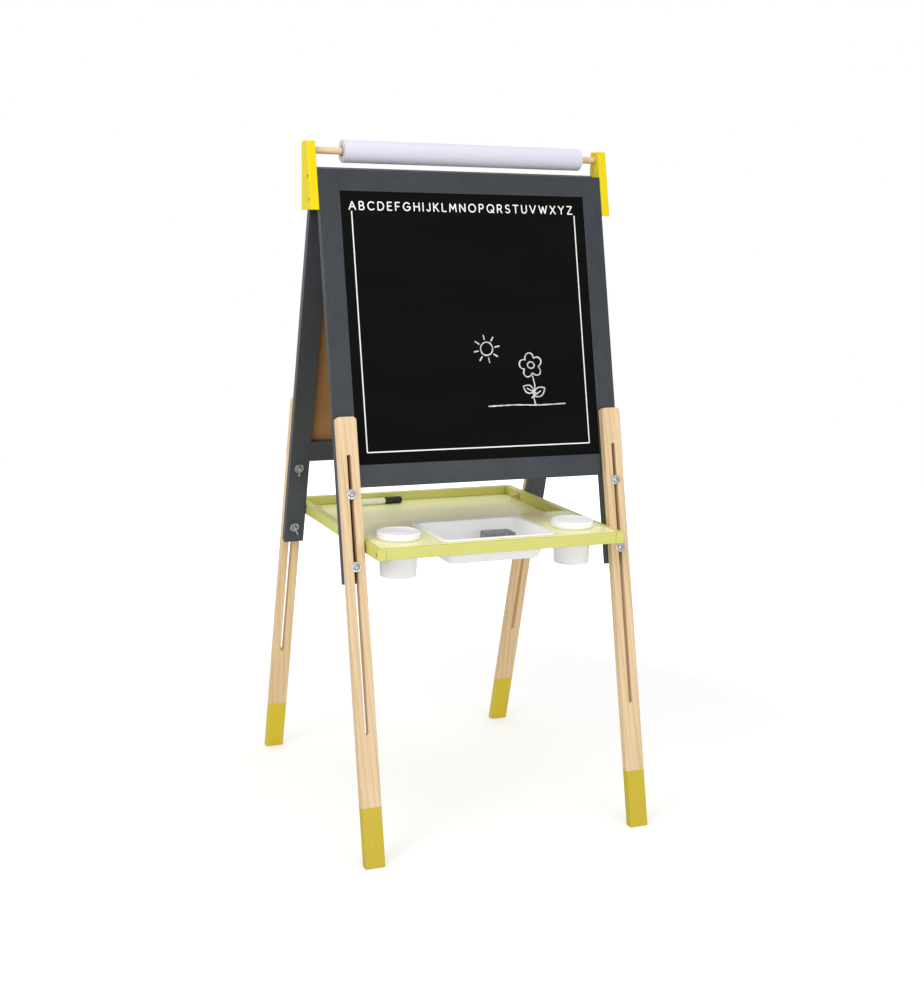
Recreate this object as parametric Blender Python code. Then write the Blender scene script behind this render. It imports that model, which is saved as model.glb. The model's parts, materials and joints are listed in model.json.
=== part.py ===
"""A children's two-sided easel: chalkboard in front, dry-erase board behind, tray between.

Metres, +Z up. X runs across the easel, -Y is its front (the chalkboard side), and the origin
is on the floor under the middle of the easel. Each half of the easel is modelled in its own
tilted frame: x across, y inwards from the outer face, z up along the stiles from their top.
"""
import math
from dataclasses import dataclass

import bmesh
import bpy
from mathutils import Matrix, Vector

GAP = 0.0003                 # air between faces that touch on the real easel

# Boards and frames
FRAME_WIDTH = 0.550
STILE_WIDTH = 0.038
BOARD_T = 0.015
TOP_RAIL_H = 0.038
PANEL_T = 0.003
PANEL_RECESS = 0.0015        # the writing surface lies this far behind the frame's face
GROOVE_DEPTH = 0.0055
TOP_Z = 1.1722               # top edge of the front frame's outer face
FRAMES_APART = 0.0241        # from that edge to the rear frame's inner face, at the same height

# Legs
LEG_WIDTH = 0.036
LEG_T = 0.016
LEG_CORNER_R = 0.007
SLOT_HALF_WIDTH = 0.0034

# Leg bolts, washers and wing nuts
BOLT_R = 0.003
BOLT_HOLE_R = 0.0034
BOLT_HEAD_R = 0.007
BOLT_HEAD_H = 0.0036
WASHER_R = 0.009
WASHER_T = 0.0012
NUT_HUB_R = 0.0058
NUT_HUB_H = 0.0075
NUT_WING_SPAN = 0.0125
NUT_WING_H = 0.0125
NUT_WING_T = 0.0022
BOLT_TIP = 0.0015            # thread that shows past the wing nut
NUT_TURN = {"upper": 65, "lower": 100}       # degrees that a nut happens to be turned
NUT_TURN_STEP = 12

# Roll brackets, dowel and paper roll
BRACKET_T = 0.016
BRACKET_TOP_Z = 1.219
BRACKET_BOTTOM_Z = 1.1014
BRACKET_BACK = 0.040         # from the frame's top front edge back to the bracket's back edge
DOWEL_R = 0.00625
DOWEL_BACK = 0.0255          # from the frame's top front edge back to the dowel
DOWEL_Z = 1.2035
GROOVE_HALF = 0.0068
GROOVE_IN = 0.0078
ROLL_R = 0.020
ROLL_CORE_R = 0.009
ROLL_CORE_BORE = 0.007
ROLL_LEFT, ROLL_RIGHT = -0.222, 0.242

# Butt hinges between the top rails
HINGE_X = 0.150
HINGE_WIDTH = 0.040
HINGE_LEAF_T = 0.0012
HINGE_LEAF_H = 0.026
HINGE_LEAF_DROP = 0.0022     # from the knuckles' underside down to the leaf's top edge
HINGE_KNUCKLE_R = 0.003
HINGE_CRANK = 0.0053           # how far the leaves' cranked ends hold the pin off the boards
HINGE_PIN_R = 0.0013
HINGE_BORE_R = 0.0017

# Tray
TRAY_HALF_WIDTH = 0.2355
TRAY_FRONT, TRAY_REAR = -0.220, 0.275       # from the frame's top front edge, back
TRAY_TOP_Z = 0.542
TRAY_T = 0.020
RAIL_T = 0.015
REBATE = 0.006
DECK_T = 0.004
DECK_REAR = -0.010
FLOOR_T = 0.003
PEG_R = 0.005
PEG_HOLE_R = 0.0053
PEG_INSIDE = 0.017           # length that shows inside the tray
PEG_IN_STILE = 0.014
PEG_Z = 0.533

# Things the tray carries
POT_X = 0.170
POT_BACK = -0.143
POT_LID_R = 0.0388
POT_TOP_R = 0.0352
POT_BASE_R = 0.0322
POT_BASE_Z = 0.475
POT_WALL = 0.0014
POT_FLANGE_T = 0.0015
LID_WALL = 0.0012
POT_HOLE_R = 0.0362
LID_TOP_Z = 0.5550
BASIN_HALF_WIDTH = 0.110
BASIN_FRONT, BASIN_REAR = -0.204, -0.040
BASIN_BASE_Z = 0.4965
BASIN_WALL = 0.0016
BASIN_TAPER = 0.016
BASIN_LIP = 0.0075
BASIN_CORNER_R = 0.012
ERASER = (0.056, 0.036, 0.034)
ERASER_AT = (0.038, -0.105)
MARKER_R = 0.0058
MARKER_CAP_R = 0.0070
MARKER_CAP_BORE = 0.0052
MARKER_LENGTH = 0.132
MARKER_CAP_LENGTH = 0.036
MARKER_AT = (-0.024, 0.2335)
MARKER_YAW = math.radians(4)

SMALL_ROUND = 12             # sides of bolts, nuts and hinge knuckles
ROUND = 16                   # sides of pegs, dowel and marker
FINE_ROUND = 24


@dataclass(frozen=True)
class Half:
    """One half of the easel, with lengths measured down the stile from its top end."""

    name: str
    tilt: float
    stile_length: float
    low_rail: tuple
    bolts: tuple
    leg_top: float
    slot: tuple
    turned: bool

    def side(self, left):
        """Local x direction of the side that is on the easel's left or right."""
        sign = -1 if left else 1
        return -sign if self.turned else sign


FRONT = Half(
    name="front", tilt=math.radians(12.94), stile_length=0.7203, low_rail=(0.516, 0.555),
    bolts=(0.566, 0.691), leg_top=0.4325, slot=(0.498, 0.979), turned=False,
)
REAR = Half(
    name="rear", tilt=math.radians(14.54), stile_length=0.7295, low_rail=(0.5194, 0.5595),
    bolts=(0.5733, 0.698), leg_top=0.4385, slot=(0.505, 0.986), turned=True,
)

MATERIALS = {
    "grey_paint": ((0.062, 0.072, 0.083), 0.5, 0.0),
    "chalkboard_paint": ((0.005, 0.0055, 0.005), 0.7, 0.0),
    "white_laminate": ((0.85, 0.85, 0.84), 0.2, 0.0),
    "pine": ((0.75, 0.53, 0.29), 0.55, 0.0),
    "yellow_paint": ((0.82, 0.66, 0.01), 0.45, 0.0),
    "lime_paint": ((0.62, 0.62, 0.20), 0.4, 0.0),
    "zinc": ((0.62, 0.62, 0.60), 0.35, 1.0),
    "white_plastic": ((0.85, 0.85, 0.86), 0.35, 0.0),
    "paper": ((0.75, 0.74, 0.78), 0.8, 0.0),
    "card": ((0.45, 0.33, 0.20), 0.8, 0.0),
    "black_plastic": ((0.012, 0.012, 0.013), 0.4, 0.0),
    "felt": ((0.06, 0.06, 0.065), 0.95, 0.0),
}


def material(name):
    """The named finish, made the first time it is asked for."""
    found = bpy.data.materials.get(name)
    if found:
        return found
    colour, roughness, metallic = MATERIALS[name]
    made = bpy.data.materials.new(name)
    made.use_nodes = True
    shader = made.node_tree.nodes["Principled BSDF"]
    shader.inputs["Base Color"].default_value = (*colour, 1.0)
    shader.inputs["Roughness"].default_value = roughness
    shader.inputs["Metallic"].default_value = metallic
    made.diffuse_color = (*colour, 1.0)
    return made


def empty(name, parent=None, location=(0, 0, 0), rotation=(0, 0, 0)):
    """A parent for pieces that share a frame or a joint axis."""
    holder = bpy.data.objects.new(name, None)
    bpy.context.scene.collection.objects.link(holder)
    holder.parent = parent
    holder.location = location
    holder.rotation_euler = rotation
    return holder


def box(low, high):
    """A cuboid between two corners."""
    bm = bmesh.new()
    low, high = Vector(low), Vector(high)
    size = Matrix.Diagonal((*(high - low), 1))
    bmesh.ops.create_cube(bm, size=1, matrix=Matrix.Translation((low + high) / 2) @ size)
    return bm


def extrude(outline, start, depth, axis="Z"):
    """A prism on a flat outline, which is given in the other two axes, in X, Y, Z order."""
    bm = bmesh.new()
    place = {
        "X": lambda a, b: (start, a, b),
        "Y": lambda a, b: (a, start, b),
        "Z": lambda a, b: (a, b, start),
    }[axis]
    face = bm.faces.new([bm.verts.new(place(a, b)) for a, b in outline])
    moved = bmesh.ops.extrude_face_region(bm, geom=[face])["geom"]
    step = Vector([depth if name == axis else 0 for name in "XYZ"])
    lifted = [g for g in moved if isinstance(g, bmesh.types.BMVert)]
    bmesh.ops.translate(bm, vec=step, verts=lifted)
    bmesh.ops.recalc_face_normals(bm, faces=bm.faces)
    return bm


def lathe(profile, sides=ROUND):
    """A closed (radius, height) outline turned about +Z; points on the axis are shared."""
    bm = bmesh.new()
    verts = [bm.verts.new((r, 0, z)) for r, z in profile]
    edges = [bm.edges.new((verts[i], verts[i - 1])) for i in range(len(verts))]
    edges = [e for e in edges if max(v.co.x for v in e.verts) > 1e-6]
    bmesh.ops.spin(
        bm, geom=verts + edges, axis=(0, 0, 1), cent=(0, 0, 0), angle=math.tau, steps=sides
    )
    bmesh.ops.remove_doubles(bm, verts=bm.verts, dist=1e-6)
    loose = [v for v in bm.verts if not v.link_faces]
    bmesh.ops.delete(bm, geom=loose, context="VERTS")
    bmesh.ops.recalc_face_normals(bm, faces=bm.faces)
    return bm


def rod(radius, start, end, sides=ROUND, chamfer=0.0):
    """A round bar along +Z from start to end."""
    if chamfer:
        profile = [(0, start), (radius - chamfer, start), (radius, start + chamfer),
                   (radius, end - chamfer), (radius - chamfer, end), (0, end)]
    else:
        profile = [(0, start), (radius, start), (radius, end), (0, end)]
    return lathe(profile, sides)


def tube(inner, outer, start, end, sides=ROUND):
    """A round sleeve along +Z."""
    return lathe([(inner, start), (outer, start), (outer, end), (inner, end)], sides)


def turned(bm, axis, at=(0, 0, 0)):
    """The shape with its +Z turned to an axis, then moved to a point."""
    spin = Vector((0, 0, 1)).rotation_difference(Vector(axis)).to_matrix().to_4x4()
    bm.transform(Matrix.Translation(at) @ spin)
    return bm


def moved(bm, at):
    """The shape moved by a vector."""
    bm.transform(Matrix.Translation(at))
    return bm


def combine(target, tools, operation):
    """The target with each tool cut away (DIFFERENCE) or joined on (UNION), exactly."""
    for tool in tools:
        names = []
        for label, bm in (("target", target), ("tool", tool)):
            mesh = bpy.data.meshes.new(label)
            bm.to_mesh(mesh)
            bm.free()
            thing = bpy.data.objects.new(label, mesh)
            bpy.context.scene.collection.objects.link(thing)
            names.append(thing)
        body, cutter = names
        step = body.modifiers.new("combine", "BOOLEAN")
        step.operation = operation
        step.solver = "EXACT"
        step.object = cutter
        bpy.context.view_layer.update()
        target = bmesh.new()
        target.from_object(body, bpy.context.evaluated_depsgraph_get())
        for thing in names:
            mesh = thing.data
            bpy.data.objects.remove(thing)
            bpy.data.meshes.remove(mesh)
    bmesh.ops.dissolve_degenerate(target, dist=1e-6, edges=target.edges)
    return target


def cut(target, *tools):
    """The target with the tools' shapes cut out of it."""
    return combine(target, tools, "DIFFERENCE")


def join(target, *tools):
    """The target and the tools made into one solid."""
    return combine(target, tools, "UNION")


def add(name, bm, finish, parent, origin=(0, 0, 0), bevel=0.0):
    """A named piece of the easel whose shape is given in its parent's frame."""
    mesh = bpy.data.meshes.new(name)
    bm.transform(Matrix.Translation(-Vector(origin)))
    bm.to_mesh(mesh)
    bm.free()
    mesh.materials.append(material(finish))
    piece = bpy.data.objects.new(name, mesh)
    bpy.context.scene.collection.objects.link(piece)
    piece.parent = parent
    piece.location = origin
    mesh.shade_smooth()
    mesh.set_sharp_from_angle(angle=math.radians(35))
    if bevel:
        rounding = piece.modifiers.new("edges", "BEVEL")
        rounding.width = bevel
        rounding.segments = 1
        rounding.limit_method = "ANGLE"
        rounding.angle_limit = math.radians(50)
    return piece


def arc(cx, cy, radius, start, end, steps):
    """Points along an arc, in degrees, both ends included."""
    turn = [math.radians(start + (end - start) * i / steps) for i in range(steps + 1)]
    return [(cx + radius * math.cos(t), cy + radius * math.sin(t)) for t in turn]


def stadium(cx, low, high, half_width, steps=6):
    """The outline of a slot with round ends, whose end arcs reach low and high."""
    top = arc(cx, high - half_width, half_width, 0, 180, steps)
    return top + arc(cx, low + half_width, half_width, 180, 360, steps)


def round_rect(half_x, half_y, radius, steps=4, centre=(0, 0)):
    """The outline of a rectangle with round corners."""
    x, y = half_x - radius, half_y - radius
    points = []
    for i, (sx, sy) in enumerate(((1, 1), (-1, 1), (-1, -1), (1, -1))):
        points += arc(centre[0] + sx * x, centre[1] + sy * y, radius, 90 * i, 90 * i + 90, steps)
    return points


def loft(rings):
    """A solid through rings of equal length, each given as (outline, z), capped at both ends."""
    bm = bmesh.new()
    rows = [[bm.verts.new((x, y, z)) for x, y in outline] for outline, z in rings]
    for lower, upper in zip(rows, rows[1:]):
        for i in range(len(lower)):
            bm.faces.new((lower[i - 1], lower[i], upper[i], upper[i - 1]))
    bm.faces.new(rows[0])
    bm.faces.new(rows[-1])
    bmesh.ops.recalc_face_normals(bm, faces=bm.faces)
    return bm


def front_plane_y(z):
    """How far back the front frame's outer face is at a height, from its own top edge."""
    return (z - TOP_Z) * math.tan(FRONT.tilt)


def half_matrix(half, back, height):
    """Where a half's own frame stands, given the top edge of its outer face."""
    turn = Matrix.Rotation(math.pi, 4, "Z") if half.turned else Matrix.Identity(4)
    return Matrix.Translation((0, back, height)) @ turn @ Matrix.Rotation(-half.tilt, 4, "X")


def rear_top():
    """The rear frame's outer top edge: back from the front frame's top edge, and height."""
    return FRAMES_APART + BOARD_T * math.cos(REAR.tilt), TOP_Z + BOARD_T * math.sin(REAR.tilt)


def on_half(frame, depth_in, z):
    """The y of a plane at a depth into a half, at a height in the world."""
    slope = frame.to_3x3() @ Vector((0, 0, 1))
    start = frame @ Vector((0, depth_in, 0))
    return start.y + (z - start.z) * slope.y / slope.z


# The shift that centres the feet on the origin, and where each half then stands
LEG_OUTSIDE = -GAP - LEG_T
CENTRE = -(on_half(half_matrix(FRONT, 0, TOP_Z), LEG_OUTSIDE, 0)
           + on_half(half_matrix(REAR, *rear_top()), LEG_OUTSIDE, 0)) / 2
FRONT_FRAME = half_matrix(FRONT, CENTRE, TOP_Z)
REAR_FRAME = half_matrix(REAR, CENTRE + rear_top()[0], rear_top()[1])
LEG_X = FRAME_WIDTH / 2 - LEG_WIDTH / 2


def frame_of(half):
    """A half's own frame in the world."""
    return REAR_FRAME if half.turned else FRONT_FRAME


def peg_back(half):
    """The y where the tray's pegs meet the middle of a half's stiles."""
    return on_half(frame_of(half), BOARD_T / 2, PEG_Z)


def hinge_pin():
    """The (y, z) of the hinge pins, a crank's length away from both frames' inner faces."""
    reach = BOARD_T + GAP + HINGE_CRANK
    starts = [frame @ Vector((0, reach, 0)) for frame in (FRONT_FRAME, REAR_FRAME)]
    slopes = [frame.to_3x3() @ Vector((0, 0, 1)) for frame in (FRONT_FRAME, REAR_FRAME)]
    apart = starts[1] - starts[0]
    u, v = slopes
    step = (apart.y * v.z - apart.z * v.y) / (u.y * v.z - u.z * v.y)
    at = starts[0] + u * step
    return at.y, at.z


def stile(half, left, parent):
    """An upright of a frame, grooved for the panel, drilled for two bolts and a tray peg."""
    x = half.side(left)
    outer, inner = x * FRAME_WIDTH / 2, x * (FRAME_WIDTH / 2 - STILE_WIDTH)
    low, high = sorted((outer, inner))
    shape = box((low, 0, -half.stile_length), (high, BOARD_T, 0))
    groove_low, groove_high = sorted((inner - x * 0.001, inner + x * GROOVE_DEPTH))
    tools = [box((groove_low, PANEL_RECESS - GAP, -half.low_rail[0] - GROOVE_DEPTH),
                 (groove_high, PANEL_RECESS + PANEL_T + GAP, -TOP_RAIL_H + GROOVE_DEPTH))]
    for depth in half.bolts:
        hole = rod(BOLT_HOLE_R, -0.001, BOARD_T + 0.001)
        tools.append(turned(hole, (0, 1, 0), (x * LEG_X, 0, -depth)))
    peg = frame_of(half).inverted() @ Vector((0, peg_back(half), PEG_Z))
    hole = rod(PEG_HOLE_R, -0.001, PEG_IN_STILE + 0.001)
    tools.append(turned(hole, (x, 0, 0), (inner, peg.y, peg.z)))
    side = "left" if left else "right"
    add(f"{half.name}_stile_{side}", cut(shape, *tools), "grey_paint", parent, bevel=0.001)


def rail(half, name, top, bottom, parent):
    """A cross rail, butted between the stiles and grooved along the edge that meets the panel."""
    reach = FRAME_WIDTH / 2 - STILE_WIDTH - GAP
    shape = box((-reach, 0, -bottom), (reach, BOARD_T, -top))
    above_panel = top == 0
    edge = -bottom if above_panel else -top
    inward = 1 if above_panel else -1
    low, high = sorted((edge - 0.001 * inward, edge + GROOVE_DEPTH * inward))
    groove = box((-reach - 0.001, PANEL_RECESS - GAP, low),
                 (reach + 0.001, PANEL_RECESS + PANEL_T + GAP, high))
    add(f"{half.name}_{name}", cut(shape, groove), "grey_paint", parent, bevel=0.001)


def panel(half, name, finish, parent):
    """The writing board, housed in the frame's grooves."""
    play = 2 * GAP
    reach = FRAME_WIDTH / 2 - STILE_WIDTH + GROOVE_DEPTH - play
    low = -half.low_rail[0] - GROOVE_DEPTH + play
    high = -TOP_RAIL_H + GROOVE_DEPTH - play
    add(name, box((-reach, PANEL_RECESS, low), (reach, PANEL_RECESS + PANEL_T, high)), finish, parent)


def leg(half, left, parent):
    """A slotted pine leg: round at its top corners, cut flat to the floor."""
    x = half.side(left) * LEG_X
    w = LEG_WIDTH / 2
    top = -half.leg_top
    past_floor = -1.25
    outline = [(x - w, past_floor), (x + w, past_floor)]
    outline += arc(x + w - LEG_CORNER_R, top - LEG_CORNER_R, LEG_CORNER_R, 0, 90, 3)
    outline += arc(x - w + LEG_CORNER_R, top - LEG_CORNER_R, LEG_CORNER_R, 90, 180, 3)
    shape = extrude(outline, LEG_OUTSIDE, LEG_T, "Y")
    world = frame_of(half)
    shape.transform(world)
    geometry = shape.verts[:] + shape.edges[:] + shape.faces[:]
    bmesh.ops.bisect_plane(
        shape, geom=geometry, plane_co=(0, 0, 0), plane_no=(0, 0, -1), clear_outer=True
    )
    bmesh.ops.holes_fill(shape, edges=shape.edges, sides=0)
    bmesh.ops.recalc_face_normals(shape, faces=shape.faces)
    shape.transform(world.inverted())
    outline = stadium(x, -half.slot[1], -half.slot[0], SLOT_HALF_WIDTH)
    slot = extrude(outline, LEG_OUTSIDE - 0.002, LEG_T + 0.004, "Y")
    side = "left" if left else "right"
    origin = (x, -GAP - LEG_T / 2, top)
    add(f"{half.name}_leg_{side}", cut(shape, slot), "pine", parent, origin, bevel=0.0012)


def bolt(name, x, depth, parent):
    """A leg bolt and its washer: domed head outside the leg, thread pointing inwards."""
    seat = LEG_OUTSIDE - GAP
    tip = BOARD_T + 2 * GAP + WASHER_T + NUT_HUB_H + BOLT_TIP
    profile = [(0, tip), (BOLT_R - 0.0006, tip), (BOLT_R, tip - 0.0006), (BOLT_R, seat),
               (WASHER_R, seat), (WASHER_R, seat - WASHER_T), (BOLT_HEAD_R, seat - WASHER_T)]
    for angle in (25, 55):
        t = math.radians(angle)
        profile.append((BOLT_HEAD_R * math.cos(t), seat - WASHER_T - BOLT_HEAD_H * math.sin(t)))
    profile.append((0, seat - WASHER_T - BOLT_HEAD_H))
    origin = (x, seat, -depth)
    shape = lathe(profile, SMALL_ROUND)
    add(name, turned(shape, (0, 1, 0), (x, 0, -depth)), "zinc", parent, origin)


def wing_nut(name, x, depth, spun, parent):
    """A wing nut and its washer on the inner face, its bore round the bolt."""
    bore = BOLT_R + 0.0004
    profile = [(bore, 0), (WASHER_R, 0), (WASHER_R, WASHER_T), (NUT_HUB_R, WASHER_T),
               (NUT_HUB_R - 0.001, WASHER_T + NUT_HUB_H), (bore, WASHER_T + NUT_HUB_H)]
    hub = lathe(profile, SMALL_ROUND)
    wings = []
    root = bore + 0.0008
    for x_side in (-1, 1):
        outline = [(root, 0.0022), (NUT_HUB_R + 0.002, 0.0032), (NUT_WING_SPAN, 0.0072),
                   (NUT_WING_SPAN + 0.0005, 0.0112), (NUT_WING_SPAN - 0.002, NUT_WING_H),
                   (NUT_WING_SPAN - 0.0055, NUT_WING_H - 0.0012), (root, 0.0076)]
        outline = [(x_side * reach, height) for reach, height in outline]
        wings.append(extrude(outline, -NUT_WING_T / 2, NUT_WING_T, "Y"))
    shape = join(hub, *wings)
    shape.transform(Matrix.Rotation(math.radians(spun), 4, "Z"))
    origin = (x, BOARD_T + GAP, -depth)
    add(name, turned(shape, (0, 1, 0), origin), "zinc", parent, origin)


def leg_fixings(half, parent):
    """The bolts and wing nuts that clamp both legs of a half to its stiles."""
    for left in (True, False):
        x = half.side(left) * LEG_X
        side = "left" if left else "right"
        for row, depth in zip(("upper", "lower"), half.bolts):
            bolt(f"{half.name}_bolt_{side}_{row}", x, depth, parent)
            spun = NUT_TURN[row] + (NUT_TURN_STEP if left else 0)
            wing_nut(f"{half.name}_wing_nut_{side}_{row}", x, depth, spun, parent)


def hinge_leaf(name, half, side, parent):
    """One leaf of a cranked hinge: a plate on the inner face, bent out to its knuckles."""
    x = side * HINGE_X
    pin = frame_of(half).inverted() @ Vector((0, *hinge_pin()))
    low, high = BOARD_T + GAP, BOARD_T + GAP + HINGE_LEAF_T
    top = pin.z - HINGE_KNUCKLE_R - HINGE_LEAF_DROP
    w = HINGE_WIDTH / 2
    shape = box((x - w, low, top - HINGE_LEAF_H), (x + w, high, top))
    third = HINGE_WIDTH / 3
    middle_knuckle = half.turned
    if middle_knuckle:
        spans = [(third - w, w - third)]
    else:
        spans = [(-w, third - w - GAP), (w - third + GAP, w)]
    extra = []
    for start, end in spans:
        bend, inset = pin.z - 0.0001, 0.0002
        crank = [(low, top - 0.004), (high, top - 0.004), (high, bend - HINGE_LEAF_T),
                 (pin.y - 0.0022, bend - HINGE_LEAF_T), (pin.y - 0.0022, bend), (low, bend)]
        extra.append(extrude(crank, x + start + inset, end - start - 2 * inset, "X"))
        knuckle = rod(HINGE_KNUCKLE_R, start, end, SMALL_ROUND)
        extra.append(turned(knuckle, (1, 0, 0), (x, pin.y, pin.z)))
    bore = rod(HINGE_BORE_R, -w - 0.001, w + 0.001, SMALL_ROUND)
    bore = turned(bore, (1, 0, 0), (x, pin.y, pin.z))
    add(name, cut(join(shape, *extra), bore), "zinc", parent)


def hinge_pin_piece(name, side, parent):
    """A hinge pin with a small head at each end."""
    w = HINGE_WIDTH / 2 + GAP
    head_r, head_t = 0.0024, 0.0012
    profile = [(0, -w - head_t), (head_r, -w - head_t), (head_r, -w), (HINGE_PIN_R, -w),
               (HINGE_PIN_R, w), (head_r, w), (head_r, w + head_t), (0, w + head_t)]
    pin_y, pin_z = hinge_pin()
    at = (side * HINGE_X, pin_y, pin_z)
    add(name, turned(lathe(profile, SMALL_ROUND), (1, 0, 0), at), "zinc", parent, at)


def frame_half(half, parent):
    """Everything that a half of the easel is made of."""
    for left in (True, False):
        stile(half, left, parent)
        leg(half, left, parent)
    rail(half, "top_rail", 0, TOP_RAIL_H, parent)
    rail(half, "bottom_rail", *half.low_rail, parent)
    leg_fixings(half, parent)
    for left in (True, False):
        name = f"{half.name}_hinge_leaf_{'left' if left else 'right'}"
        hinge_leaf(name, half, half.side(left), parent)


def bracket(left):
    """A yellow side bracket, slotted from above for one end of the roll's dowel."""
    x = -1 if left else 1
    inner = x * (FRAME_WIDTH / 2 + GAP)
    outline = [
        (CENTRE + front_plane_y(BRACKET_BOTTOM_Z), BRACKET_BOTTOM_Z),
        (CENTRE + BRACKET_BACK, BRACKET_BOTTOM_Z),
        (CENTRE + BRACKET_BACK, BRACKET_TOP_Z),
        (CENTRE + front_plane_y(BRACKET_TOP_Z), BRACKET_TOP_Z),
    ]
    shape = extrude(outline, inner, x * BRACKET_T, "X")
    groove = stadium(CENTRE + DOWEL_BACK, DOWEL_Z - GROOVE_HALF, BRACKET_TOP_Z + 0.02, GROOVE_HALF)
    cutter = extrude(groove, inner - x * 0.001, x * (GROOVE_IN + 0.001), "X")
    side = "left" if left else "right"
    add(f"bracket_{side}", cut(shape, cutter), "yellow_paint", None, bevel=0.001)


def roll(parent):
    """The dowel, and the paper roll on its cardboard core, along the dowel's axis."""
    reach = FRAME_WIDTH / 2 + GROOVE_IN - GAP
    add("roll_dowel", turned(rod(DOWEL_R, -reach, reach, ROUND, 0.0008), (1, 0, 0)), "pine", parent)
    core = tube(ROLL_CORE_BORE, ROLL_CORE_R, ROLL_LEFT - 0.001, ROLL_RIGHT + 0.001, ROUND)
    add("roll_core", turned(core, (1, 0, 0)), "card", parent)
    paper = tube(ROLL_CORE_R + GAP, ROLL_R, ROLL_LEFT, ROLL_RIGHT, FINE_ROUND)
    add("paper_roll", turned(paper, (1, 0, 0)), "paper", parent)


def tray_frame(parent):
    """The tray's five rails, rebated for the deck above and the floor below, and its pegs' holes."""
    low_z, high_z = TRAY_TOP_Z - TRAY_T, TRAY_TOP_Z
    front, rear = CENTRE + TRAY_FRONT, CENTRE + TRAY_REAR
    deck_rear = CENTRE + DECK_REAR
    inner = TRAY_HALF_WIDTH - RAIL_T
    reach = inner - GAP

    def deck_rebate():
        return box((-inner - REBATE, front + RAIL_T - REBATE, high_z - DECK_T - GAP),
                   (inner + REBATE, deck_rear + GAP, high_z + 0.001))

    def floor_rebate():
        return box((-inner - REBATE, deck_rear - REBATE, low_z - 0.001),
                   (inner + REBATE, rear - RAIL_T + REBATE, low_z + FLOOR_T + GAP))

    front_rail = box((-reach, front, low_z), (reach, front + RAIL_T, high_z))
    rear_rail = box((-reach, rear - RAIL_T, low_z), (reach, rear, high_z))
    cross_rail = box((-reach, deck_rear - RAIL_T, low_z), (reach, deck_rear, high_z))
    add("tray_rail_front", cut(front_rail, deck_rebate()), "lime_paint", parent)
    add("tray_rail_rear", cut(rear_rail, floor_rebate()), "lime_paint", parent)
    add("tray_cross_rail", cut(cross_rail, deck_rebate(), floor_rebate()), "lime_paint", parent)
    for side, x in (("left", -1), ("right", 1)):
        a, b = sorted((x * inner, x * TRAY_HALF_WIDTH))
        holes = []
        for half in (FRONT, REAR):
            hole = rod(PEG_R + GAP, -0.001, RAIL_T + 0.001)
            holes.append(turned(hole, (-x, 0, 0), (x * TRAY_HALF_WIDTH, peg_back(half), PEG_Z)))
        shape = cut(box((a, front, low_z), (b, rear, high_z)), deck_rebate(), floor_rebate(), *holes)
        add(f"tray_rail_{side}", shape, "lime_paint", parent)


def tray_pegs(parent):
    """The rear pegs that the tray turns on, and the front pegs, which stop at the tray's side."""
    inner = TRAY_HALF_WIDTH - RAIL_T
    into_stile = FRAME_WIDTH / 2 - STILE_WIDTH + PEG_IN_STILE
    for side, x in (("left", -1), ("right", 1)):
        spans = ((REAR, inner - PEG_INSIDE, into_stile), (FRONT, inner, TRAY_HALF_WIDTH))
        for half, start, end in spans:
            at = (0, peg_back(half), PEG_Z)
            peg = rod(PEG_R, start, end, ROUND, 0.0008)
            name = f"tray_peg_{half.name}_{side}"
            add(name, turned(peg, (x, 0, 0), at), "pine", parent, at)


def tray_panels(parent):
    """The deck, cut out for the basin and the pots, and the thin floor behind it."""
    inner = TRAY_HALF_WIDTH - RAIL_T + REBATE - GAP
    front = CENTRE + TRAY_FRONT + RAIL_T - REBATE + GAP
    deck = box((-inner, front, TRAY_TOP_Z - DECK_T), (inner, CENTRE + DECK_REAR, TRAY_TOP_Z))
    tools = []
    for x in (-POT_X, POT_X):
        hole = rod(POT_HOLE_R, TRAY_TOP_Z - 0.01, TRAY_TOP_Z + 0.01, FINE_ROUND)
        tools.append(moved(hole, (x, CENTRE + POT_BACK, 0)))
    middle = CENTRE + (BASIN_FRONT + BASIN_REAR) / 2
    half_deep = (BASIN_REAR - BASIN_FRONT) / 2
    play = 0.001
    wide, deep = BASIN_HALF_WIDTH - BASIN_LIP + play, half_deep - BASIN_LIP + play
    hole = round_rect(wide, deep, BASIN_CORNER_R, 3, (0, middle))
    tools.append(extrude(hole, TRAY_TOP_Z - 0.01, 0.02, "Z"))
    add("tray_deck", cut(deck, *tools), "lime_paint", parent)
    low_z = TRAY_TOP_Z - TRAY_T
    floor_front = CENTRE + DECK_REAR - REBATE + GAP
    floor_rear = CENTRE + TRAY_REAR - RAIL_T + REBATE - GAP
    floor = box((-inner, floor_front, low_z), (inner, floor_rear, low_z + FLOOR_T))
    add("tray_floor", floor, "lime_paint", parent)


def pot_profile():
    """The pot's closed outline: tapered wall, flange on the deck, neck under the lid."""
    flange_low = TRAY_TOP_Z + GAP
    flange_high = flange_low + POT_FLANGE_T
    neck_top = LID_TOP_Z - LID_WALL - GAP
    neck_r = POT_TOP_R - 0.0006
    return [
        (0, POT_BASE_Z), (POT_BASE_R - 0.003, POT_BASE_Z), (POT_BASE_R, POT_BASE_Z + 0.003),
        (POT_TOP_R, flange_low), (POT_LID_R - 0.0008, flange_low), (POT_LID_R - 0.0008, flange_high),
        (neck_r, flange_high), (neck_r, neck_top), (neck_r - POT_WALL, neck_top),
        (neck_r - POT_WALL, flange_low), (POT_BASE_R - POT_WALL, POT_BASE_Z + 0.004),
        (POT_BASE_R - POT_WALL - 0.002, POT_BASE_Z + POT_WALL), (0, POT_BASE_Z + POT_WALL),
    ]


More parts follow.
